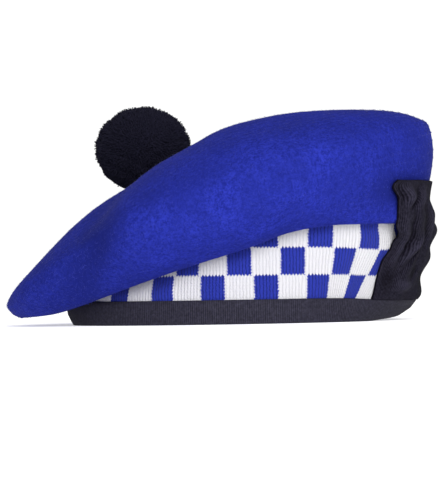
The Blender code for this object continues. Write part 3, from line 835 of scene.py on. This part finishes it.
def knit_look():
    """Two-colour wool knit: stocking stitch, whose Vs give soft ribs one wale wide.

    The UV runs in dice: one unit is one die wide or high. A stitch is one wale by one
    course, and its arms rise to both sides, so the dice end in teeth above and below.
    """
    look, shader = new_material(
        "Diced wool knit", roughness=0.9, sheen=0.04, sheen_roughness=0.5, specular=0.05
    )
    uv = add_node(look, "ShaderNodeUVMap", {}, uv_map="Cloth")[0]
    split = add_node(look, "ShaderNodeSeparateXYZ", {0: uv})
    loose = add_node(look, NOISE, {"Vector": uv, "Scale": float(COURSES), "Detail": 2.0})[0]
    uneven = add_node(look, MATHS, {
        0: loose, 1: STITCH_UNEVEN, 2: -STITCH_UNEVEN / 2,
    }, operation="MULTIPLY_ADD")[0]
    across = add_node(look, MATHS, {0: split["X"], 1: uneven}, operation="ADD")[0]
    wale = add_node(look, MATHS, {0: across, 1: float(WALES)}, operation="MULTIPLY")[0]
    course = add_node(look, MATHS, {0: split["Y"], 1: float(COURSES)}, operation="MULTIPLY")[0]
    # Away from the wale's middle, 0 to 1.
    in_wale = add_node(look, MATHS, {0: wale}, operation="FRACT")[0]
    centred = add_node(look, MATHS, {0: in_wale, 1: 2.0, 2: -1.0}, operation="MULTIPLY_ADD")[0]
    side = add_node(look, MATHS, {0: centred}, operation="ABSOLUTE")[0]
    along_arm = add_node(look, MATHS, {
        0: side, 1: -ARM_DROP, 2: course,
    }, operation="MULTIPLY_ADD")[0]
    stitch = add_node(look, MATHS, {0: along_arm}, operation="FLOOR")[0]
    # Outer loops of a die lean over its neighbour, a little differently on every course.
    loop = add_node(look, MATHS, {0: along_arm, 1: 0.5}, operation="PINGPONG")[0]
    lean = add_node(look, MATHS, {0: loop, 1: LOOP_LEAN}, operation="MULTIPLY")[0]
    mid_stitch = add_node(look, MATHS, {0: stitch, 1: 0.5}, operation="ADD")[0]
    rows_up = add_node(look, MATHS, {0: mid_stitch, 1: float(COURSES)}, operation="DIVIDE")[0]
    row = add_node(look, MATHS, {0: rows_up}, operation="FLOOR")[0]
    # Half a die on, less the mean lean. Then above 0 in a white die and below 0 in a blue one,
    # and furthest from 0 in its middle.
    leaning = add_node(look, MATHS, {0: across, 1: lean}, operation="ADD")[0]
    half_die = add_node(look, MATHS, {0: leaning, 1: 0.5 - LOOP_LEAN / 4}, operation="ADD")[0]
    die_wave = add_node(look, MATHS, {0: half_die, 1: 1.0}, operation="PINGPONG")[0]
    wave = add_node(look, MATHS, {0: die_wave, 1: 0.5}, operation="SUBTRACT")[0]
    odd = add_node(look, MATHS, {0: row, 1: 1.0}, operation="PINGPONG")[0]
    row_sign = add_node(look, MATHS, {0: odd, 1: -2.0, 2: 1.0}, operation="MULTIPLY_ADD")[0]
    white_side = add_node(look, MATHS, {0: wave, 1: row_sign}, operation="MULTIPLY")[0]
    blue_die = add_node(look, MATHS, {0: white_side, 1: -WHITE_SPREAD}, operation="LESS_THAN")[0]
    fuzz = add_node(look, NOISE, {
        "Vector": uv, "Scale": FUZZ_TO_A_DIE, "Detail": 3.0, "Roughness": 0.7,
    })[0]
    white = add_node(look, MIX, {
        MIX_SHARE: fuzz,
        MIX_LOW: linear_colour("BAB9BE"),
        MIX_HIGH: linear_colour("D8D7D9"),
    }, data_type="RGBA")[MIX_RESULT]
    blue = add_node(look, MIX, {
        MIX_SHARE: fuzz,
        MIX_LOW: linear_colour("1A247C"),
        MIX_HIGH: linear_colour("2E3A9E"),
    }, data_type="RGBA")[MIX_RESULT]
    dice = add_node(look, MIX, {
        MIX_SHARE: blue_die, MIX_LOW: white, MIX_HIGH: blue,
    }, data_type="RGBA")[MIX_RESULT]
    # Painted shade between the wales, where the yarn turns in, and much more so in a blue die.
    side_squared = add_node(look, MATHS, {0: side, 1: side}, operation="MULTIPLY")[0]
    groove = add_node(look, MATHS, {0: side, 1: side_squared}, operation="MULTIPLY")[0]
    deep = add_node(look, RANGE, {"Value": groove, "From Min": 0.3, "From Max": 0.9})[0]
    die_dim = add_node(look, MATHS, {0: blue_die, 1: 0.85, 2: 0.06}, operation="MULTIPLY_ADD")[0]
    dim = add_node(look, MATHS, {0: deep, 1: die_dim}, operation="MULTIPLY")[0]
    shadow = add_node(look, MIX, {
        MIX_SHARE: blue_die,
        MIX_LOW: linear_colour("77747F"),
        MIX_HIGH: linear_colour("10164E"),
    }, data_type="RGBA")[MIX_RESULT]
    colour = add_node(look, MIX, {
        MIX_SHARE: dim, MIX_LOW: dice, MIX_HIGH: shadow,
    }, data_type="RGBA")[MIX_RESULT]
    next_stitch = add_node(look, MATHS, {0: along_arm, 1: 0.5}, operation="ADD")[0]
    round_arm = add_node(look, MATHS, {0: next_stitch, 1: 0.5}, operation="PINGPONG")[0]
    arm_top = add_node(look, MATHS, {0: round_arm, 1: 0.5}, operation="POWER")[0]
    ribs = add_node(look, MATHS, {0: groove, 1: -0.7}, operation="MULTIPLY")[0]
    stitches = add_node(look, MATHS, {0: arm_top, 1: 0.5, 2: ribs}, operation="MULTIPLY_ADD")[0]
    relief = add_node(look, MATHS, {0: fuzz, 1: 0.35, 2: stitches}, operation="MULTIPLY_ADD")[0]
    set_surface(look, shader, colour, relief, strength=0.8, depth=0.0006)
    return look


def grosgrain_look(name, dark, light, roughness, specular):
    """Grosgrain ribbon: a thick weft woven under a fine warp gives ribs with a dull gleam.

    The UV runs in ribs: one unit is one rib's width.
    """
    look, shader = new_material(
        name, roughness=roughness, sheen=0.0, sheen_roughness=0.4, specular=specular
    )
    uv = add_node(look, "ShaderNodeUVMap", {}, uv_map="Cloth")[0]
    split = add_node(look, "ShaderNodeSeparateXYZ", {0: uv})
    warp = add_node(look, NOISE, {
        "Vector": uv, "Scale": THREADS_TO_A_RIB, "Detail": 3.0, "Roughness": 0.7,
    })[0]
    place = add_node(look, "ShaderNodeTexCoord", {})["Object"]
    fuzz = add_node(look, NOISE, {
        "Vector": place, "Scale": 1 / RIBBON_FUZZ, "Detail": 4.0, "Roughness": 0.75,
    })[0]
    specks = add_node(look, MATHS, {0: fuzz, 1: 1.4, 2: -0.7}, operation="MULTIPLY_ADD")[0]
    woven = add_node(look, MATHS, {0: warp, 1: 0.45, 2: specks}, operation="MULTIPLY_ADD")[0]
    rib = add_node(look, MATHS, {0: split["X"], 1: 0.5}, operation="PINGPONG")[0]
    ribbed = add_node(look, MATHS, {0: rib, 1: woven}, operation="ADD")[0]
    # Painted light and shade: folds that stand out are painted paler, and the creases between them
    # darker.
    painted_fold_shading = add_node(look, "ShaderNodeAttribute", {}, attribute_name="fold")["Fac"]
    lit = add_node(look, MATHS, {0: painted_fold_shading, 1: 0.28, 2: ribbed}, operation="MULTIPLY_ADD")[0]
    share = add_node(look, RANGE, {"Value": lit, "From Min": 0.2, "From Max": 0.95})[0]
    colour = add_node(look, MIX, {
        MIX_SHARE: share, MIX_LOW: linear_colour(dark), MIX_HIGH: linear_colour(light),
    }, data_type="RGBA")[MIX_RESULT]
    relief = add_node(look, MATHS, {0: fuzz, 1: 0.8, 2: rib}, operation="MULTIPLY_ADD")[0]
    set_surface(look, shader, colour, relief, strength=0.6, depth=0.0003)
    return look


def yarn_look():
    """Cut wool yarn, dyed black: the ends untwist and swallow the light."""
    look, shader = new_material(
        "Cut black yarn", roughness=0.95, sheen=0.12, sheen_roughness=0.5, specular=0.05
    )
    shader.inputs["Sheen Tint"].default_value = linear_colour("6A6880")
    place = add_node(look, "ShaderNodeTexCoord", {})["Object"]
    curl = add_node(look, NOISE, {
        "Vector": place, "Scale": 1 / YARN_CURL, "Detail": 3.0, "Roughness": 0.7,
    })[0]
    colour = add_node(look, MIX, {
        MIX_SHARE: curl,
        MIX_LOW: linear_colour("0A0A13"),
        MIX_HIGH: linear_colour("201F2F"),
    }, data_type="RGBA")[MIX_RESULT]
    set_surface(look, shader, colour, curl, strength=0.6, depth=0.0006)
    return look


# Pieces.


def make_felt_crown(look):
    """The crown of felt, from its seam on the band to the toorie, and its grid of points."""
    steps = 120
    times = 3
    columns = [crown_meridian(turn) for turn in turns(steps)]
    grid = finer_up(finer(as_grid(columns), times, True), times)
    # The dents are pressed in, and the shade painted into them is kept on the crown's points.
    nap = press_dents(grid)
    pole = crown_top(0.0, 0.0)
    crown = cloth("felt_crown", grid, True, look, (1.0, 1.0), pole)
    painted_dent_shade = crown.data.attributes.new("painted_dent_shade", "FLOAT", "POINT")
    painted_dent_shade.data.foreach_set("value", np.append(nap, 0).astype(np.float32))
    thicken(crown, FELT_WALL)
    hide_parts("crown")
    return crown, grid


def make_felt_hairs(grid, look, seed):
    """Loose hairs of the nap: each a bent sliver that lies almost flat on the felt."""
    random = np.random.default_rng(seed)
    face = facing(grid, True)
    count, height = grid.shape[:2]
    i = random.integers(0, count, HAIRS)
    # More hairs where the felt's rings are longer, so that they lie evenly.
    girth = np.linalg.norm(np.roll(grid, -1, axis=0) - grid, axis=2).mean(axis=0)
    span = np.linalg.norm(np.gradient(grid, axis=1), axis=2).mean(axis=0)
    weight = girth * span
    weight[:HIDDEN_RINGS] = 0
    k = random.choice(height, HAIRS, p=weight / weight.sum())
    j = (i + 1) % count
    share = random.random((HAIRS, 1))
    root = grid[i, k] * (1 - share) + grid[j, k] * share
    up = face[i, k]
    way = random.normal(size=(HAIRS, 3))
    way -= up * np.sum(way * up, axis=1, keepdims=True)
    way /= np.linalg.norm(way, axis=1, keepdims=True)
    side = np.cross(up, way)
    length = random.uniform(*HAIR_LENGTH, (HAIRS, 1))
    rise = random.uniform(*HAIR_RISE, (HAIRS, 1)) * length
    bend = random.normal(0, HAIR_BEND, (HAIRS, 1)) * length
    thin = random.uniform(*HAIR_HALF_WIDTH, (HAIRS, 1))
    # Each bends at half its length, and its tip comes down a little.
    middle = root + way * length * 0.5 + up * rise + side * bend
    tip = root + way * length + up * rise * 0.7
    foot = [root - side * thin, root + side * thin]
    corners = foot + [middle + side * thin, middle - side * thin, tip]
    points = np.stack(corners, axis=1).reshape(-1, 3) + np.array(RING_MIDDLE)
    faces = []
    for n in range(HAIRS):
        first = n * 5
        faces.append((first, first + 1, first + 2, first + 3))
        faces.append((first + 3, first + 2, first + 4))
    return mesh_of("felt_hairs", points, faces, look)


def puff_fade(turn, run, point):
    """1 where the knit is free to puff, 0 under the felt's lip, the cockade and the binding."""
    low = lip(turn)[1]
    below = smoothstep((low.z - LIP_PRESS - point.z) / LIP_PRESS_FADE)
    degrees = (math.degrees(turn) + 180) % 360 - 180
    ahead = smoothstep((COCKADE_PRESS_FRONT - degrees) / COCKADE_PRESS_FRONT_FADE)
    behind = smoothstep((degrees - COCKADE_PRESS_BACK) / COCKADE_PRESS_BACK_FADE)
    above = smoothstep((run - BINDING_HEIGHT) / BINDING_PRESS_FADE)
    return below * min(1.0, ahead + behind) * above


def dice_shift(turn, run):
    """How far, in radians, the cockade draws its lowest and its top dice towards the front."""
    ahead = (math.degrees(turn) + 90 + 180) % 360 - 180
    fade = 1 - smoothstep((ahead - CROWDING_ENDS) / CROWDING_FADES)
    rows_up = (run - BINDING_HEIGHT + DICE_HIDDEN) / DICE_HEIGHT
    low_drawn = smoothstep((ahead - LOW_CROWDING_FROM) / LOW_CROWDING_GROWS) * fade
    low = LOW_CROWDING * low_drawn * min(1.0, max(0.0, 1 - rows_up / LOW_CROWDING_ROWS))
    top_drawn = max(0.0, (ahead - TOP_CROWDING_FROM) / TOP_CROWDING_GROWS) ** 2 * fade
    top_rows = smoothstep((rows_up - TOP_CROWDING_ROW) / TOP_CROWDING_ROWS)
    return math.radians(low + TOP_CROWDING * top_drawn * top_rows)


def make_knit_band(look):
    """The band's outer face with puffed white dice and a rib for each wale, and its inner face."""
    per_wale = 4
    steps = DICE_ROUND * WALES
    foot = BINDING_HEIGHT - DICE_HIDDEN
    runs = [BINDING_WALL + GAP, foot]
    rows_up = DICE_ROWS * COURSES
    runs += [foot + DICE_HEIGHT / COURSES * (k + 1) for k in range(rows_up)]
    runs += [BAND_TOP - BAND_SEAM / 2, BAND_TOP]
    base = []
    fade = []
    start = math.radians(-90 + DICE_START_TURN) - math.pi / DICE_ROUND
    for n in range(steps):
        turn = start + 2 * math.pi * n / steps
        row = [wall_point(turn - dice_shift(turn, run), run, KNIT_HALF) for run in runs]
        base.append(row)
        fade.append([puff_fade(turn, run, point) for run, point in zip(runs, row)])
    grid = finer(as_grid(base), per_wale, True)
    fade = finer(np.array(fade)[..., None], per_wale, True)[..., 0]
    face = facing(grid, True)
    across = np.arange(len(grid))[:, None] / (per_wale * WALES)
    up = ((np.array(runs) - foot) / DICE_HEIGHT)[None, :]
    # 1 in the middle of a white die, 0 at its side edges, below 0 in a blue one.
    white = 0.5 - np.abs((across + 0.5) % 2 - 1)
    white = white * np.where(np.floor(up + 1e-6) % 2 == 0, -1, 1)
    white = (white + WHITE_SPREAD) / (0.5 + WHITE_SPREAD)
    inside_up = np.abs(np.sin(np.pi * np.clip(up, 0, DICE_ROWS))) ** PUFF_ROUND
    puff = np.abs(white) ** PUFF_ROUND * np.where(white > 0, 1.0, -BLUE_SINKS)
    puff = DICE_PUFF * puff * inside_up
    wale = WALE_RIB * -0.5 * np.cos(2 * np.pi * across * WALES)
    wale = wale * np.where(white > 0, WHITE_RIB_SHARE, 1.0)
    grid = grid + face * ((puff + wale) * np.clip(fade, 0, 1))[..., None]
    inner_runs = runs[::4] + [BAND_TOP]
    inner_turns = [start + 2 * math.pi * n / steps for n in range(0, steps, 2)]
    inner = as_grid([[wall_point(t, run, -KNIT_HALF) for run in inner_runs] for t in inner_turns])
    outer, faces, uvs = cloth_of_dice(grid, up[0])
    points = np.concatenate([outer, inner.reshape(-1, 3) + np.array(RING_MIDDLE)])
    add_inner_face(faces, uvs, len(outer), inner.shape[:2], grid.shape[:2], up[0])
    band = mesh_of("knit_band", points, faces, look, uvs)
    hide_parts("diced_band")
    return band


def cloth_of_dice(grid, up):
    """Points, faces and UVs of the band's outside. up is each point's height in dice."""
    count, height = grid.shape[:2]
    points = grid.reshape(-1, 3) + np.array(RING_MIDDLE)
    faces = []
    uvs = []
    for i in range(count):
        j = (i + 1) % count
        for k in range(height - 1):
            faces.append((i * height + k, j * height + k, j * height + k + 1, i * height + k + 1))
            left, right = DICE_ROUND * i / count, DICE_ROUND * (i + 1) / count
            uvs += [(left, up[k]), (right, up[k]), (right, up[k + 1]), (left, up[k + 1])]
    return points, faces, uvs


def add_inner_face(faces, uvs, first, inner, outer, up):
    """Faces of the band's inside, and of its upper and lower edges, joined to the outer face.

    first is the number of the inside's first point, and inner and outer are the grids' sizes.
    """
    count, height = inner
    each = outer[0] // count
    for i in range(count):
        j = (i + 1) % count
        left, right = DICE_ROUND * i / count, DICE_ROUND * (i + 1) / count
        for k in range(height - 1):
            low, high = first + i * height + k, first + j * height + k
            faces.append((low, low + 1, high + 1, high))
            v, w = DICE_ROWS * k / height, DICE_ROWS * (k + 1) / height
            uvs += [(left, v), (left, w), (right, w), (right, v)]
        for row, mine, flip in ((0, 0, False), (outer[1] - 1, height - 1, True)):
            chain = [((i * each + n) % outer[0]) * outer[1] + row for n in range(each + 1)]
            ends = [first + j * height + mine, first + i * height + mine]
            face = chain + ends
            faces.append(tuple(reversed(face)) if not flip else tuple(face))
            uvs += [(left, up[row])] * len(face)


def make_binding(look):
    """Grosgrain folded round the band's lower edge, with its ribs upright."""
    edge = BINDING_EDGE
    top = BINDING_HEIGHT
    inner_top = top - BINDING_WALL
    # Round its section: up the wall, out from the knit's middle, and 1 where ribs show.
    section = [
        (edge, BINDING_HALF, 1),
        (0.25 * top, BINDING_HALF, 1),
        (0.5 * top, BINDING_HALF, 1),
        (0.75 * top, BINDING_HALF, 1),
        (top - BINDING_TOP_ROUND, BINDING_HALF, 1),
        (top, BINDING_HALF - BINDING_TOP_ROUND, 1),
        (top, CHANNEL_HALF, 0),
        (BINDING_WALL, CHANNEL_HALF, 0),
        (BINDING_WALL, -CHANNEL_HALF, 0),
        (inner_top, -CHANNEL_HALF, 0),
        (inner_top, -BINDING_HALF, 1),
        (edge, -BINDING_HALF, 1),
        (0.25 * edge, -BINDING_HALF + 0.25 * edge, 1),
        (0.0, -BINDING_HALF + edge, 0),
        (0.0, BINDING_HALF - edge, 0),
        (0.25 * edge, BINDING_HALF - 0.25 * edge, 1),
    ]
    ribs_a_step = 4
    per_rib = 3
    coarse_turns = turns(round(GIRTH / RIB_PITCH) // ribs_a_step)
    coarse = [[wall_point(turn, run, out) for run, out, _ in section] for turn in coarse_turns]
    grid = finer(as_grid(coarse), ribs_a_step * per_rib, True)
    count, height = grid.shape[:2]
    centre = grid.mean(axis=1, keepdims=True)
    away = grid - centre
    away /= np.linalg.norm(away, axis=2, keepdims=True)
    ribbed = np.array([lies for _, _, lies in section])[None, :, None]
    wave = np.cos(2 * np.pi * np.arange(count) / per_rib)[:, None, None]
    grid = grid + away * wave * ribbed * RIB_HEIGHT / 2
    points = grid.reshape(-1, 3) + np.array(RING_MIDDLE)
    length = [0.0]
    for a, b in zip(section, section[1:] + section[:1]):
        length.append(length[-1] + math.hypot(a[0] - b[0], a[1] - b[1]) / RIB_PITCH)
    faces = []
    uvs = []
    for i in range(count):
        j = (i + 1) % count
        left, right = i / per_rib, (i + 1) / per_rib
        for k in range(height):
            m = (k + 1) % height
            low, high = length[k], length[k + 1]
            faces.append((i * height + k, j * height + k, j * height + m, i * height + m))
            uvs += [(left, low), (right, low), (right, high), (left, high)]
    binding = mesh_of("binding_ribbon", points, faces, look, uvs)
    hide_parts("edge_binding")
    return binding


def make_cockade(look):
    """Grosgrain ribbon gathered and stitched down over the join of the band and the felt."""
    across_steps = 50
    up_steps = 28
    times = 5
    seat = []
    for i in range(across_steps + 1):
        across = i / across_steps
        row = []
        for k in range(up_steps + 1):
            up = k / up_steps
            front = read(COCKADE_EDGES, COCKADE_COLUMNS, "front_turn", up)
            back = read(COCKADE_EDGES, COCKADE_COLUMNS, "back_turn", up)
            turn = round(math.radians(lerp(front, back, across)), 3)
            row.append(cockade_seat(turn, up, min(across, 1 - across)))
        seat.append(row)
    grid = finer_up(finer(as_grid(seat), times, False), times)
    face = facing(grid, False)
    count, height = grid.shape[:2]
    ribs = round(COCKADE_RIBBED / RIB_PITCH)
    relief = np.zeros((count, height))
    folds = np.zeros((count, height))
    for i in range(count):
        across = i / (count - 1)
        for k in range(height):
            up = k / (height - 1)
            edge = smoothstep(min(across, 1 - across) / SIDE_FADE)
            edge *= smoothstep(min(up, 1 - up) / END_FADE)
            fine = ribbon_folds(RIBBON_GATHERS, across, up) * edge
            rib = math.cos(2 * math.pi * ribs * across) * RIB_HEIGHT * COCKADE_RIB_SHARE
            relief[i, k] = max(0.0, cockade_relief(across, up) + fine) + rib
            # A gather's height also sets the light painted on a raised gather and the shade painted
            # in a sunken one.
            folds[i, k] = fine / FOLD_SHADING_HEIGHT
    grid = grid + face * (relief + GAP + COCKADE_WALL)[..., None]
    measure = (float(ribs), COCKADE_HEIGHT_IN_RIBS)
    cockade = cloth("cockade_ribbon", grid, False, look, measure)
    # Kept for the ribbon's colour, as painted light and shade.
    painted_fold_shading = cockade.data.attributes.new("fold", "FLOAT", "POINT")
    painted_fold_shading.data.foreach_set("value", np.clip(folds, -1, 1).reshape(-1).astype(np.float32))
    thicken(cockade, COCKADE_WALL)
    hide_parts("cockade")
    return cockade


def dimple_frame():
    """The lowest point of the crown's dimple, and the felt's upward direction there."""
    place = crown_top(0.0, 0.0)
    near = 0.03
    east = crown_top(0.0, near) - crown_top(math.pi, near)
    north = crown_top(math.pi / 2, near) - crown_top(-math.pi / 2, near)
    return place, east.cross(north).normalized()


def toorie_middle(half):
    """The middle of an upright ball that rests on the slope in the crown's dimple."""
    place, up = dimple_frame()
    reach = Vector((half[0] * up.x, half[1] * up.y, half[2] * up.z))
    touch = Vector((half[0] * reach.x, half[1] * reach.y, half[2] * reach.z)) / reach.length
    return place + up * GAP + touch


def even_ways(count):
    """Directions spread evenly over a ball."""
    golden = math.pi * (3 - math.sqrt(5))
    n = np.arange(count)
    height = 1 - 2 * (n + 0.5) / count
    wide = np.sqrt(1 - height * height)
    return np.stack([wide * np.cos(n * golden), wide * np.sin(n * golden), height], axis=1)


def make_toorie(look, seed):
    """Cut yarn ends, packed so close that they form a ball with soft locks."""
    random = np.random.default_rng(seed)
    tips = even_ways(TOORIE_LOCKS)
    ways = even_ways(STRANDS)
    ways += random.normal(0, STRAND_SCATTER, ways.shape)
    ways /= np.linalg.norm(ways, axis=1, keepdims=True)
    apart = np.arccos(np.clip((ways @ tips.T).max(axis=1), -1, 1))
    spacing = math.sqrt(4 * math.pi / TOORIE_LOCKS) * LOCK_WIDTH
    half = np.array([TOORIE_WIDTH / 2, TOORIE_WIDTH / 2, TOORIE_HEIGHT / 2])
    # Where the ball rests on the felt, its strands are pressed even.
    loose = np.clip((ways[:, 2] + 0.95) / 0.5, 0, 1)
    valley = LOCK_DEPTH * LOCK_VALLEY * np.minimum(1, apart / spacing) ** 2 * loose
    trim = random.normal(0, TRIM_SCATTER, STRANDS) * loose
    missed = random.random(STRANDS) < STRAY_SHARE
    stray = np.where(missed, random.uniform(*STRAY_LENGTH, STRANDS), 0)
    reach = 1 - (valley - trim - stray) / half[0]
    end = ways * half * np.minimum(reach, STRAND_LONGEST)[:, None]
    root = ways * half * STRAND_START
    side = np.cross(ways, random.normal(size=ways.shape))
    side /= np.linalg.norm(side, axis=1, keepdims=True)
    other = np.cross(ways, side)
    curl = random.normal(0, STRAND_CURL, (STRANDS, 1))
    middle = (root + end) / 2 + side * curl
    stations = ((root, STRAND_RADIUS), (middle, STRAND_RADIUS), (end, STRAND_TIP_RADIUS))
    rings = []
    for centre, radius in stations:
        for k in range(3):
            angle = 2 * math.pi * k / 3
            rings.append(centre + (side * math.cos(angle) + other * math.sin(angle)) * radius)
    strand_points = np.stack(rings, axis=1).reshape(-1, 3)
    faces = []
    for n in range(STRANDS):
        first = n * 9
        for ring in (0, 3):
            for k in range(3):
                a, b = first + ring + k, first + ring + (k + 1) % 3
                faces.append((a, b, b + 3, a + 3))
        faces.append((first + 6, first + 7, first + 8))
    core, core_faces = toorie_core(tips, half, spacing)
    faces += [tuple(v + len(strand_points) for v in face) for face in core_faces]
    points = np.concatenate([strand_points, core])
    points = points + np.array(toorie_middle(half)) + np.array(RING_MIDDLE)
    toorie = mesh_of("toorie_yarn", points, faces, look)
    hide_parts("toorie")
    return toorie


def toorie_core(tips, half, spacing):
    """The dark, packed inside of the ball, a little smaller than its cut ends."""
    rounds = 72
    rows = 36
    points = [(0, 0, -1)]
    for k in range(1, rows):
        tilt = math.pi * k / rows - math.pi / 2
        wide = math.cos(tilt)
        for turn in turns(rounds):
            points.append((wide * math.cos(turn), wide * math.sin(turn), math.sin(tilt)))
    points.append((0, 0, 1))
    ways = np.array(points, dtype=float)
    apart = np.arccos(np.clip((ways @ tips.T).max(axis=1), -1, 1))
    valley = LOCK_DEPTH * LOCK_VALLEY * np.minimum(1, apart / spacing) ** 2
    made = ways * half * (CORE_SIZE - valley / half[0])[:, None]
    faces = []
    top = len(points) - 1
    for i in range(rounds):
        j = (i + 1) % rounds
        faces.append((0, 1 + j, 1 + i))
        faces.append((top, top - rounds + i, top - rounds + j))
        for k in range(rows - 2):
            a, b = 1 + k * rounds + i, 1 + k * rounds + j
            faces.append((a, b, b + rounds, a + rounds))
    return made, faces


# Studio.


def make_floor():
    """A wide sheet of white paper that the bonnet stands on."""
    look = bpy.data.materials.new("White paper sweep")
    look.use_nodes = True
    shader = look.node_tree.nodes["Principled BSDF"]
    shader.inputs["Base Color"].default_value = linear_colour("FAFAFA")
    shader.inputs["Roughness"].default_value = 0.9
    shader.inputs["Specular IOR Level"].default_value = 0.1
    # The paper is lit from below too, so it stays white far behind the bonnet.
    shader.inputs["Emission Color"].default_value = linear_colour("FFFFFF")
    shader.inputs["Emission Strength"].default_value = 0.5
    mesh = bpy.data.meshes.new("floor")
    half = 12.0
    corners = [(-half, -half, 0), (half, -half, 0), (half, half, 0), (-half, half, 0)]
    mesh.from_pydata(corners, [], [(0, 1, 2, 3)])
    mesh.materials.append(look)
    floor = bpy.data.objects.new("floor", mesh)
    bpy.context.scene.collection.objects.link(floor)


def make_light(name, place, aim, size, power):
    """A round soft box, size metres across, turned to its aim."""
    lamp = bpy.data.lights.new(name, "AREA")
    lamp.shape = "DISK"
    lamp.size = size
    lamp.energy = power
    light = bpy.data.objects.new(name, lamp)
    light.location = place
    light.rotation_euler = (Vector(aim) - Vector(place)).to_track_quat("-Z", "Y").to_euler()
    bpy.context.scene.collection.objects.link(light)


def make_studio():
    scene = bpy.context.scene
    scene.view_settings.view_transform = "Standard"
    scene.view_settings.look = "None"
    world = bpy.data.worlds.new("White studio")
    scene.world = world
    world.use_nodes = True
    sky = world.node_tree.nodes["Background"]
    sky.inputs["Color"].default_value = (1.0, 1.0, 1.0, 1.0)
    # A bright white screen stands behind the bonnet, and the ceiling is paler than the walls.
    way = add_node(world, "ShaderNodeTexCoord", {})["Generated"]
    split = add_node(world, "ShaderNodeSeparateXYZ", {0: way})
    ceiling = add_node(world, RANGE, {
        "Value": split["Z"], "From Min": 0.1, "From Max": 0.9, "To Min": 0.16, "To Max": 0.75,
    })[0]
    screen = add_node(world, RANGE, {
        "Value": split["Y"], "From Min": 0.8, "From Max": 0.95, "To Max": 1.05,
    })[0]
    glow = add_node(world, MATHS, {0: ceiling, 1: screen}, operation="MAXIMUM")[0]
    world.node_tree.links.new(glow, sky.inputs["Strength"])
    # A large soft box, high in front of the bonnet and a little to the cockade's side.
    make_light("key", place=(0.35, -2.15, 0.85), aim=(0, 0, 0.06), size=1.1, power=52)


def make_camera():
    """A long lens close to the floor, level with the hat and square to its front."""
    picture = (443, 503)
    metres_per_pixel = 0.000527
    distance = 2.6
    eye_height = 0.03
    roll = math.radians(1.02)
    # Where the head ring's lower edge stands in the picture, and the picture's middle.
    ring_pixel = (242.5, 322.1)
    u = (picture[0] / 2 - ring_pixel[0]) * metres_per_pixel
    v = (ring_pixel[1] - picture[1] / 2) * metres_per_pixel
    x = u * math.cos(roll) + v * math.sin(roll) + RING_MIDDLE.x
    z = v * math.cos(roll) - u * math.sin(roll)
    camera = bpy.data.objects.new("camera", bpy.data.cameras.new("camera"))
    camera.data.lens = camera.data.sensor_width * distance / (picture[1] * metres_per_pixel)
    camera.data.clip_start = 0.05
    camera.data.clip_end = 60
    camera.location = (x, -distance, eye_height)
    way = Vector((0, distance, z - eye_height)).normalized()
    camera.rotation_euler = way.to_track_quat("-Z", "Y").to_euler()
    camera.rotation_euler.rotate_axis("Z", -roll)
    bpy.context.scene.collection.objects.link(camera)
    bpy.context.scene.camera = camera


def main():
    make_studio()
    make_camera()
    make_floor()
    felt = felt_look()
    crown, crown_grid = make_felt_crown(felt)
    make_felt_hairs(crown_grid, nap_fibre_look(), seed=7)
    make_knit_band(knit_look())
    make_binding(grosgrain_look(
        "Grosgrain binding", dark="1A1923", light="383644", roughness=0.75, specular=0.08
    ))
    make_cockade(grosgrain_look(
        "Grosgrain cockade", dark="0B0912", light="2E2C3A", roughness=0.85, specular=0.03
    ))
    make_toorie(yarn_look(), seed=11)


main()
bpy.context.view_layer.update()
